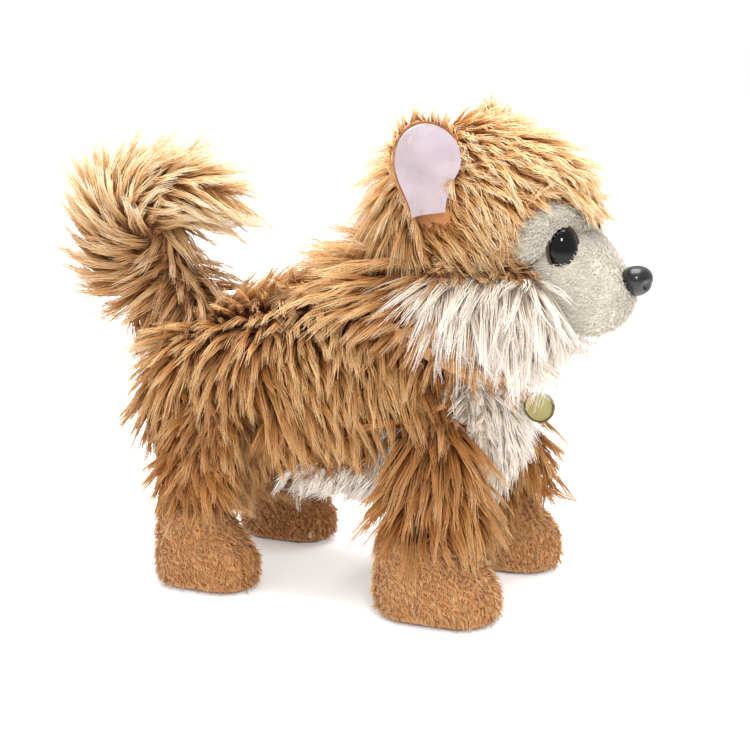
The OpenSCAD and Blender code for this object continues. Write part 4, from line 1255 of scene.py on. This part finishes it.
@dataclass
class Eyes:
    """Two oval glass eyes, each in a brown rim, seated on the face."""

    half_width: float = 7.0 * MM
    half_height: float = 10.2 * MM
    bulge: float = 5.6 * MM
    rim: float = 0.9 * MM
    sunk: float = 0.3 * MM

    def build(self, head: Head, muzzle: Muzzle) -> None:
        """Builds glass and rims.

        Args:
            head: the finished head.
            muzzle: the finished muzzle; each eye sits on the one that is further out.
        """
        graph = bpy.context.evaluated_depsgraph_get()
        trees = [BVHTree.FromObject(skin, graph) for skin in (head.skin, muzzle.skin)]
        glass, rims = bmesh.new(), bmesh.new()
        for side in (-1, 1):
            at = head.eye_at * (1, side, 1)
            skull = (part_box("skull_front")[0][0], 0.0, middle("skull_front")[2])
            out = unit((at - np.array(skull)) * (1.0, 1.35, 0.45))
            hits = [tree.ray_cast(Vector(at + out * 0.03), Vector(-out)) for tree in trees]
            hit, normal, _, _ = min((h for h in hits if h[0] is not None), key=lambda h: h[3])
            seat = np.array(hit) - out * self.sunk
            facing = unit(0.65 * out + 0.35 * np.array(normal))
            across = unit(np.cross((0, 0, 1), facing))
            up = np.cross(facing, across)
            self.dome(glass, seat, across, up, facing)
            self.ring(rims, seat + facing * self.sunk * 0.9, across, up, facing)
        for name, bm, finish in (("eye_glass", glass, EYE_GLOSS), ("eye_rims", rims, EYE_RIM)):
            piece = dress(from_bmesh(name, bm), finish)
            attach(piece, "head")
            if finish is EYE_GLOSS:
                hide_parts("eyes")
            log.info("%s built", name)

    def dome(self, bm: bmesh.types.BMesh, seat: Array, across: Array, up: Array, out: Array) -> None:
        """Adds one glass dome with a closed back."""
        rows, turns = 14, 40
        rings = []
        for i in range(rows):
            angle = (i + 0.25) / rows * math.pi
            wide, high = math.sin(angle), math.cos(angle)
            depth = self.bulge * high if high > 0 else 2.5 * MM * high
            rings.append([
                bm.verts.new(seat + across * self.half_width * wide * math.cos(t)
                             + up * self.half_height * wide * math.sin(t) + out * depth)
                for t in np.linspace(0, 2 * math.pi, turns, endpoint=False)])
        close_rings(bm, rings)

    def ring(self, bm: bmesh.types.BMesh, seat: Array, across: Array, up: Array, out: Array) -> None:
        """Adds one padded rim round a dome."""
        turns, sides = 48, 10
        rings = []
        for t in np.linspace(0, 2 * math.pi, turns, endpoint=False):
            spoke = across * math.cos(t) * self.half_width + up * math.sin(t) * self.half_height
            way = unit(spoke)
            rings.append([
                bm.verts.new(seat + spoke * 1.02 + (way * math.cos(a) + out * math.sin(a)) * self.rim)
                for a in np.linspace(0, 2 * math.pi, sides, endpoint=False)])
        close_rings(bm, rings, caps=False, loop=True)


def close_rings(bm: bmesh.types.BMesh, rings: list, caps: bool = True, loop: bool = False) -> None:
    """Joins rings of points into a skin, with flat ends or as a closed loop."""
    pairs = list(zip(rings, rings[1:])) + ([(rings[-1], rings[0])] if loop else [])
    for low, high in pairs:
        for i in range(len(low)):
            j = (i + 1) % len(low)
            bm.faces.new((low[i], low[j], high[j], high[i]))
    if caps and not loop:
        bm.faces.new(rings[0])
        bm.faces.new(rings[-1][::-1])


@dataclass
class Nose:
    """Moulded nose: broad and flat on top, two nostrils and a groove below."""

    half_depth: float = 7.4 * MM
    half_width: float = 8.6 * MM
    half_height: float = 7.4 * MM
    nostril: float = 2.0 * MM

    def build(self) -> None:
        """Builds the nose."""
        low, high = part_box("nose")
        at = np.array([high[0] - (high[2] - low[2]) / 2, 0.0, (low[2] + high[2]) / 2])
        bm = bmesh.new()
        bmesh.ops.create_icosphere(bm, subdivisions=5, radius=1.0)
        for vert in bm.verts:
            x, y, z = vert.co
            narrow = 1.0 - 0.34 * smooth(0.1, -1.0, z) + 0.02 * x
            p = np.array([x * self.half_depth, y * self.half_width * narrow, z * self.half_height])
            p[2] -= 0.9 * MM * max(0.0, z) ** 2 * (1 - y * y)
            for s in (-1, 1):
                far = math.dist((x, y, z), (0.80, 0.50 * s, -0.22))
                p -= np.array([1.0, 0.25 * s, 0.1]) * self.nostril * math.exp(-(far / 0.24) ** 2)
            p[0] -= 1.1 * MM * math.exp(-(y / 0.09) ** 2) * float(smooth(0.0, -0.4, z)) * max(0.0, x)
            vert.co = at + p
        piece = dress(from_bmesh("nose_moulding", bm), NOSE_GLOSS)
        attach(piece, "head")
        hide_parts("nose")
        log.info("nose built")


@dataclass
class Ears:
    """Upright ears: cupped, plush behind and satin inside, with a fold across the satin."""

    cup: float = 5.0 * MM
    wall: float = 2.6 * MM
    rows: int = 22
    columns: int = 18

    def build(self, grower: Grower) -> None:
        """Builds both ears and the short pile on their backs."""
        for side, word in ((-1, "right"), (1, "left")):
            frame_of = self.axes(f"ear_{word}", f"ear_lining_{word}")
            shell = self.sheet_form(f"ear_shell_{word}", frame_of, 0.0, self.wall, 1.0)
            dress(shell, TAN_BACKING)
            soften(shell, "head", 0.4, f"ear_{word}")
            lining = self.sheet_form(f"ear_satin_{word}", frame_of, self.wall + 1.1 * MM, 1.4 * MM, 0.96)
            dress(lining, EAR_SATIN)
            soften(lining, "head", 0.2, f"ear_lining_{word}")
            self.coat(grower, shell, frame_of, word)

    def axes(self, ear: str, lining: str) -> dict[str, Array]:
        """An ear's own middle, axes and size, from its solids."""
        co = cad_points(ear)
        low, high = co.min(axis=0), co.max(axis=0)
        mid = (low + high) / 2
        _, _, axes = np.linalg.svd(co - co.mean(axis=0), full_matrices=False)
        up = axes[0] * np.sign(axes[0][2])
        out = axes[2] * np.sign(np.dot(axes[2], cad_points(lining).mean(axis=0) - mid))
        across = np.cross(up, out)
        tall = (co - mid) @ up
        wide = (co - mid) @ across
        return {
            "up": up, "out": out, "across": across,
            "base": mid + up * tall.min() + across * (wide.min() + wide.max()) / 2,
            "size": np.array([(wide.max() - wide.min()) / 2, tall.max() - tall.min()]),
        }

    def outline(self, t: Array) -> Array:
        """Half width of the ear from its base at 0 to its tip at 1, as a share of the widest."""
        side = 0.52 + 0.48 * smooth(0.0, 0.6, t)
        tip = np.sqrt(np.clip(1 - ((t - 0.64) / 0.36) ** 2, 0.0004, 1))
        return side * np.where(t > 0.64, tip, 1.0)

    def sheet_form(self, name: str, axes: dict[str, Array], lift: float, wall: float,
                   share: float) -> bpy.types.Object:
        """A cupped closed sheet.

        Args:
            name: the piece's name.
            axes: the ear's own axes and size.
            lift: how far its back is from the ear's back.
            wall: its thickness.
            share: its size, as a share of the ear's.

        Returns:
            The sheet.
        """
        bm = bmesh.new()
        layers = []
        for level in (0.0, 1.0):
            grid = []
            for i in range(self.rows + 1):
                t = 0.5 - 0.5 * math.cos(math.pi * i / self.rows)
                row = []
                for j in range(self.columns + 1):
                    s = math.sin((j / self.columns - 0.5) * math.pi)
                    place = self.place(axes, s, t, share, lift + wall * level, float(share < 1))
                    row.append(bm.verts.new(place))
                grid.append(row)
            layers.append(grid)
        for k, grid in enumerate(layers):
            for i in range(self.rows):
                for j in range(self.columns):
                    quad = (grid[i][j], grid[i][j + 1], grid[i + 1][j + 1], grid[i + 1][j])
                    bm.faces.new(quad if k else quad[::-1])
        rim = [[*g[0], *[r[-1] for r in g[1:]], *g[-1][-2::-1], *[r[0] for r in g[-2:0:-1]]]
               for g in layers]
        for i in range(len(rim[0])):
            j = (i + 1) % len(rim[0])
            bm.faces.new((rim[0][i], rim[0][j], rim[1][j], rim[1][i]))
        bmesh.ops.remove_doubles(bm, verts=bm.verts, dist=0.02 * MM)
        bmesh.ops.dissolve_degenerate(bm, edges=bm.edges, dist=0.01 * MM)
        return from_bmesh(name, bm)

    def place(self, axes: dict[str, Array], s: float, t: float, share: float, lift: float,
              folded: float) -> Array:
        """Place of a point on the ear, s across and t up."""
        half, tall = axes["size"]
        wide = float(self.outline(np.array(t))) * half * share
        t = 0.5 + (t - 0.5) * share
        cupped = self.cup * (s * wide / half) ** 2 - 0.5 * self.cup * (t - 0.4) ** 2
        fold = folded * 1.5 * MM * math.exp(-((t - 0.50 + 0.16 * s) / 0.1) ** 2)
        ripple = folded * 0.35 * MM * math.sin(9 * t + 3 * s)
        return (axes["base"] + axes["up"] * t * tall + axes["across"] * s * wide
                + axes["out"] * (lift + cupped - fold + ripple))

    def coat(self, grower: Grower, shell: bpy.types.Object, axes: dict[str, Array], word: str) -> None:
        """Short pile on the back of the ear, turning over its rim."""
        _, no = points_of(shell.data)
        behind = smooth(0.2, -0.2, no @ axes["out"])
        pile = Pile(
            comb=lambda co: ways(co, *(0.9 * axes["up"] - 0.2 * axes["out"])),
            length=lambda co: np.full(len(co), 8 * MM),
            stand=lambda co: np.full(len(co), 0.25),
            tone=lambda co: 0.5 + 0.15 * drift(co, 15 * MM, 23),
            share=lambda co: behind, density=9e5, spacing=0.003, radius=0.00032, wave=0.0006,
            fray=0.0006, seed=71, points=3)
        grower.grow(f"ear_coat_{word}", shell, pile, HEAD_PILE, "head")


# ---------------------------------------------------------------- legs


class Corner(Enum):
    """The four legs."""

    FRONT_RIGHT = "front_right"
    FRONT_LEFT = "front_left"
    REAR_RIGHT = "rear_right"
    REAR_LEFT = "rear_left"

    @property
    def front(self) -> bool:
        """Whether it is a front leg."""
        return self.value.startswith("front")

    @property
    def side(self) -> int:
        """-1 on the right, 1 on the left."""
        return -1 if self.value.endswith("right") else 1


@dataclass
class Leg:
    """One leg: a shaggy cuff over a velour paw with two sewn toe grooves."""

    corner: Corner
    cuff_depth: float = 4 * MM
    hip_y: float = 37 * MM
    hip_size: tuple[float, float, float] = (19 * MM, 8 * MM, 17 * MM)
    groove: float = 1.9 * MM
    stitches: int = 9

    def build(self, grower: Grower) -> None:
        """Builds cuff, paw and their pile."""
        name = self.corner.value
        self.cuff(grower, name)
        self.paw(grower, name)

    def cuff(self, grower: Grower, name: str) -> None:
        """Stuffed upper leg round the hip, under long pile that hangs over the paw."""
        hip = joint_at(f"leg_swing_{name}") * (1, 0, 1) + (0, self.corner.side * self.hip_y, 0)
        dome = ball_points(hip, self.hip_size, 24, 11, 1.5)
        skin = hull_form(f"cuff_backing_{name}", np.concatenate([cad_points(f"leg_plush_{name}"), dome]))
        inset(skin, lambda co: self.cuff_depth * (1 - smooth(70 * MM, 85 * MM, co[:, 2])))
        inflate(skin, 1 * MM)
        subdivide(skin)
        dress(skin, TAN_BACKING)
        soften(skin, f"leg_{name}", 0.7, f"leg_plush_{name}")
        mid = middle(f"leg_plush_{name}")
        pile = Pile(
            comb=lambda co: ways(
                co, 0.08 + (co[:, 0] - mid[0]) / 34 / MM * smooth(78 * MM, 55 * MM, co[:, 2]),
                (co[:, 1] - mid[1]) / 45 / MM, -1.0),
            length=lambda co: (30 if self.corner.front else 17) * MM
            * (1 - 0.25 * smooth(0, 20 * MM, co[:, 0] - mid[0])),
            stand=lambda co: (0.46 if self.corner.front else 0.34)
            - 0.1 * smooth(0, 20 * MM, co[:, 0] - mid[0])
            - 0.16 * smooth(70 * MM, 88 * MM, co[:, 2]) - 0.1 * smooth(52 * MM, 60 * MM, np.abs(co[:, 1])),
            tone=lambda co: 0.32 + 0.2 * drift(co, 25 * MM, 25),
            share=lambda co: (co[:, 2] > 44 * MM).astype(float),
            density=5.8e5, seed=81 + list(Corner).index(self.corner))
        grower.grow(f"cuff_coat_{name}", skin, pile, TAN_PILE, f"leg_{name}")

    def paw(self, grower: Grower, name: str) -> None:
        """Stuffed paw with toe grooves, stitches in them and short velour."""
        node = f"paw_{name}"
        low, high = (np.array(v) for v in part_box(node))
        skin = hull_form(f"paw_backing_{name}", cad_points(node), voxel=0.003)
        inset(skin, lambda co: 1.2 * MM * smooth(1 * MM, 4 * MM, co[:, 2]))
        inflate(skin, 1 * MM)
        subdivide(skin)
        co, no = points_of(skin.data)
        co[:, 2] = np.maximum(co[:, 2], 0.2 * MM)
        mid = (low + high) / 2
        wide = (high[1] - low[1]) / 2
        toe = smooth(high[0] - 17 * MM, high[0] - 6 * MM, co[:, 0])
        for line in (-0.34, 0.34):
            near_line = np.exp(-(((co[:, 1] - mid[1]) / wide - line) / 0.075) ** 2)
            co -= no * (self.groove * toe * near_line * smooth(2 * MM, 6 * MM, co[:, 2]))[:, None]
        move_points(skin, co)
        dress(skin, PAW_CLOTH)
        soften(skin, f"leg_{name}", 0.9, node)
        self.stitch(skin, name, high[0], mid[1], wide)
        pile = Pile(
            comb=lambda co: ways(co, 0.45, (co[:, 1] - mid[1]) / 30 / MM, -0.6),
            length=lambda co: np.full(len(co), 4.0 * MM),
            stand=lambda co: np.full(len(co), 0.55),
            tone=lambda co: (0.5 if self.corner.front else 0.2) + 0.2 * drift(co, 12 * MM, 27),
            share=lambda co: smooth(2.5 * MM, 4.5 * MM, co[:, 2]),
            density=9e5, spacing=0.0018, radius=0.0003, clump=0.6, fray=0.0007, wave=0.0003,
            stray=0.5, tone_spread=0.6, seed=91, points=2)
        grower.grow(f"paw_pile_{name}", skin, pile, PAW_PILE, f"leg_{name}")

    def stitch(self, skin: bpy.types.Object, name: str, front: float, mid: float, wide: float) -> None:
        """Thread bars sewn along both toe grooves."""
        tree = BVHTree.FromObject(skin, bpy.context.evaluated_depsgraph_get())
        bm = bmesh.new()
        for line in (-0.34, 0.34):
            for height in np.linspace(5 * MM, 26 * MM, self.stitches):
                start = Vector((front + 20 * MM, mid + wide * line, height))
                hit, normal, _, _ = tree.ray_cast(start, Vector((-1, 0, 0)))
                if hit is None:
                    continue
                self.bar(bm, np.array(hit) + np.array(normal) * 0.2 * MM, np.array(normal))
        piece = dress(from_bmesh(f"toe_stitches_{name}", bm), THREAD)
        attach(piece, f"leg_{name}")

    def bar(self, bm: bmesh.types.BMesh, at: Array, normal: Array) -> None:
        """Adds one short arched bar of thread."""
        across = unit(np.cross(normal, (0, 0, 1)))
        up = np.cross(across, normal)
        rings = []
        for i in range(7):
            t = i / 6 * 2 - 1
            centre = at + across * 1.1 * MM * t + normal * 0.35 * MM * (1 - t * t)
            thick = 0.32 * MM * math.sqrt(max(0.05, 1 - t * t * 0.9))
            rings.append([bm.verts.new(centre + (normal * math.cos(a) + up * math.sin(a)) * thick)
                          for a in np.linspace(0, 2 * math.pi, 6, endpoint=False)])
        close_rings(bm, rings)


# ---------------------------------------------------------------- collar and tag


@dataclass
class Collar:
    """Woven ribbon round the neck."""

    thickness: float = 1.2 * MM
    ribs: int = 260

    def build(self) -> None:
        """Builds the ribbon over the collar's own ring."""
        co = cad_points("collar")
        ring = co[co[:, 0] < np.quantile(co[:, 0], 0.9)]
        across = np.array([0.0, 1.0, 0.0])
        axis = np.array(next(j for j in frame["joints"] if j["name"] == "head_turn")["axis"], float)
        forward = np.cross(across, axis)
        flat = co @ axis
        wide = co[:, 1].max()
        at = axis * (np.quantile(flat, 0.02) + np.quantile(flat, 0.98)) / 2
        at = at + forward * (ring @ forward).min() + forward * wide
        half = (np.quantile(flat, 0.98) - np.quantile(flat, 0.02)) * 0.36
        bm = bmesh.new()
        rings = []
        for k in range(self.ribs):
            t = 2 * math.pi * k / self.ribs
            out = forward * math.cos(t) + across * math.sin(t)
            rib = 0.12 * MM * (k % 2)
            section = []
            for a in np.linspace(0, 2 * math.pi, 16, endpoint=False):
                u, v = math.cos(a), math.sin(a)
                up = half * math.copysign(abs(u) ** 0.35, u)
                thick = self.thickness / 2 * math.copysign(abs(v) ** 0.6, v)
                edge = 0.18 * MM * (abs(up) > half * 0.8)
                section.append(bm.verts.new(
                    at + out * (wide - self.thickness / 2 + thick + (rib + edge) * (v > 0)) + axis * up))
            rings.append(section)
        close_rings(bm, rings, caps=False, loop=True)
        piece = dress(from_bmesh("collar_ribbon", bm), RIBBON)
        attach(piece, "chassis")
        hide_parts("collar")
        log.info("collar built")


@dataclass
class Tag:
    """Round metal tag with a rolled rim and an eyelet."""

    rim: float = 0.9 * MM

    def build(self) -> None:
        """Builds the disc, its rim and its eyelet."""
        low, high = (np.array(v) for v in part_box("tag"))
        radius = (high[0] - low[0]) / 2
        at = np.array([(low[0] + high[0]) / 2, (low[1] + high[1]) / 2, low[2] + radius])
        half = (high[1] - low[1]) / 2
        profile = [
            (0.0, 0.55), (0.55, 0.6), (0.8, 0.58), (0.86, 0.7), (0.9, 1.0), (0.95, 1.0), (1.0, 0.6),
            (1.0, 0.0), (1.0, -0.6), (0.95, -1.0), (0.9, -1.0), (0.86, -0.7), (0.8, -0.58),
            (0.55, -0.6), (0.0, -0.55)]
        bm = bmesh.new()
        turns = 64
        rings = [[bm.verts.new(at + np.array([
            radius * max(r, 0.004) * math.cos(t), half * h, radius * max(r, 0.004) * math.sin(t)]))
            for t in np.linspace(0, 2 * math.pi, turns, endpoint=False)] for r, h in profile]
        close_rings(bm, rings)
        eyelet = np.array([at[0], at[1], high[2] - 2.2 * MM])
        loop = []
        for t in np.linspace(0, 2 * math.pi, 28, endpoint=False):
            out = np.array([math.cos(t), 0.0, math.sin(t)])
            side = np.array([0, 1.0, 0])
            loop.append([
                bm.verts.new(eyelet + out * 1.7 * MM + (out * math.cos(a) + side * math.sin(a)) * 0.55 * MM)
                for a in np.linspace(0, 2 * math.pi, 8, endpoint=False)])
        close_rings(bm, loop, caps=False, loop=True)
        piece = dress(from_bmesh("tag_disc", bm), TAG_METAL, TAG_RIM)
        for face in piece.data.polygons:
            out = np.array(face.center) - at
            if math.hypot(out[0], out[2]) > radius * 0.87:
                face.material_index = 1
        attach(piece, "tag")
        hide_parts("tag")
        log.info("tag built")


# ---------------------------------------------------------------- inside and studio


class Inside:
    """The working parts, which keep their own shapes and get their real finishes."""

    def dress(self) -> None:
        """Gives every carried-over part its finish, by the slot that it names."""
        count = 0
        for obj in frame["nodes"].values():
            for slot in obj.material_slots:
                finish = CAD_FINISHES.get(slot.material.name.split(".")[0]) if slot.material else None
                if finish is not None:
                    slot.material = Finishes.of(finish)
                    count += 1
        log.info("inside: %d parts dressed", count)


@dataclass
class Studio:
    """Pale floor, soft light and the camera."""

    distance: float = 0.90
    azimuth: float = 23.7
    elevation: float = 12.3
    target: tuple[float, float, float] = (0.0115, 0.0, 0.1005)
    lens: float = 90.2
    key: float = 33.0
    ambient: float = 0.74
    glow: float = 0.3

    def build(self) -> None:
        """Builds floor, lights, world and camera."""
        self.floor()
        self.world()
        self.light("top_light", (-0.05, 0.20, 1.30), 1.1, self.key)
        self.light("front_light", (0.55, -0.95, 0.95), 0.22, self.key * 0.22)
        self.camera()

    def floor(self) -> None:
        """A wide pale floor that curves up behind."""
        material, g, shader = start_material("studio_floor")
        g.feed(shader.inputs["Base Color"], (0.96, 0.96, 0.96, 1.0))
        shader.inputs["Roughness"].default_value = 0.9
        shader.inputs["Specular IOR Level"].default_value = 0.1
        shader.inputs["Emission Color"].default_value = (1.0, 1.0, 1.0, 1.0)
        shader.inputs["Emission Strength"].default_value = self.glow
        wide = 6.0
        floor = mesh_from("floor", [(-wide, -wide, 0), (wide, -wide, 0), (wide, wide, 0), (-wide, wide, 0)],
                          [(0, 1, 2, 3)])
        floor.data.materials.append(material)

    def world(self) -> None:
        """Even white surroundings."""
        world = bpy.data.worlds.new("studio")
        bpy.context.scene.world = world
        world.use_nodes = True
        g = Graph(world.node_tree)
        sky = world.node_tree.nodes["Background"]
        sky.inputs[0].default_value = (1.0, 1.0, 1.0, 1.0)
        seen = g.add("ShaderNodeLightPath").outputs["Is Camera Ray"]
        g.feed(sky.inputs[1], g.math("MULTIPLY_ADD", seen, 1.02 - self.ambient, self.ambient))
        bpy.context.scene.view_settings.view_transform = "Standard"

    def light(self, name: str, at: Sequence[float], size: float, power: float) -> None:
        """A soft square light that faces the object."""
        data = bpy.data.lights.new(name, "AREA")
        data.size = size
        data.energy = power
        obj = bpy.data.objects.new(name, data)
        bpy.context.scene.collection.objects.link(obj)
        obj.location = at
        obj.rotation_euler = (Vector(self.target) - Vector(at)).to_track_quat("-Z", "Y").to_euler()

    def camera(self) -> None:
        """The camera, level and a little above the back."""
        data = bpy.data.cameras.new("camera")
        data.lens = self.lens
        data.sensor_width = 36.0
        data.clip_start = 0.01
        obj = bpy.data.objects.new("camera", data)
        bpy.context.scene.collection.objects.link(obj)
        turn, rise = math.radians(self.azimuth), math.radians(self.elevation)
        way = Vector((math.sin(turn) * math.cos(rise), -math.cos(turn) * math.cos(rise), math.sin(rise)))
        obj.location = Vector(self.target) + way * self.distance
        obj.rotation_euler = (-way).to_track_quat("-Z", "Y").to_euler()
        bpy.context.scene.camera = obj


def main() -> None:
    """Builds the plush dog around the frame, then the studio."""
    logging.basicConfig(level=logging.INFO, format="%(message)s")
    Groups.build()
    grower = Grower()
    Inside().dress()
    torso, chest = Torso(), Chest()
    torso.build_skin()
    chest.build_skin()
    torso.build_pile(grower, chest.skin)
    chest.build_pile(grower)
    Tail().build(grower)
    head = Head()
    head.build_skin()
    head.build_pile(grower)
    muzzle = Muzzle()
    muzzle.build(grower, head.eye_at)
    Ruff().build(grower, muzzle.skin)
    Eyes().build(head, muzzle)
    Nose().build()
    Ears().build(grower)
    for corner in Corner:
        Leg(corner).build(grower)
    Collar().build()
    Tag().build()
    Studio().build()
    log.info("pile: %d faces in all", grower.total)


if __name__ == "__main__":
    main()
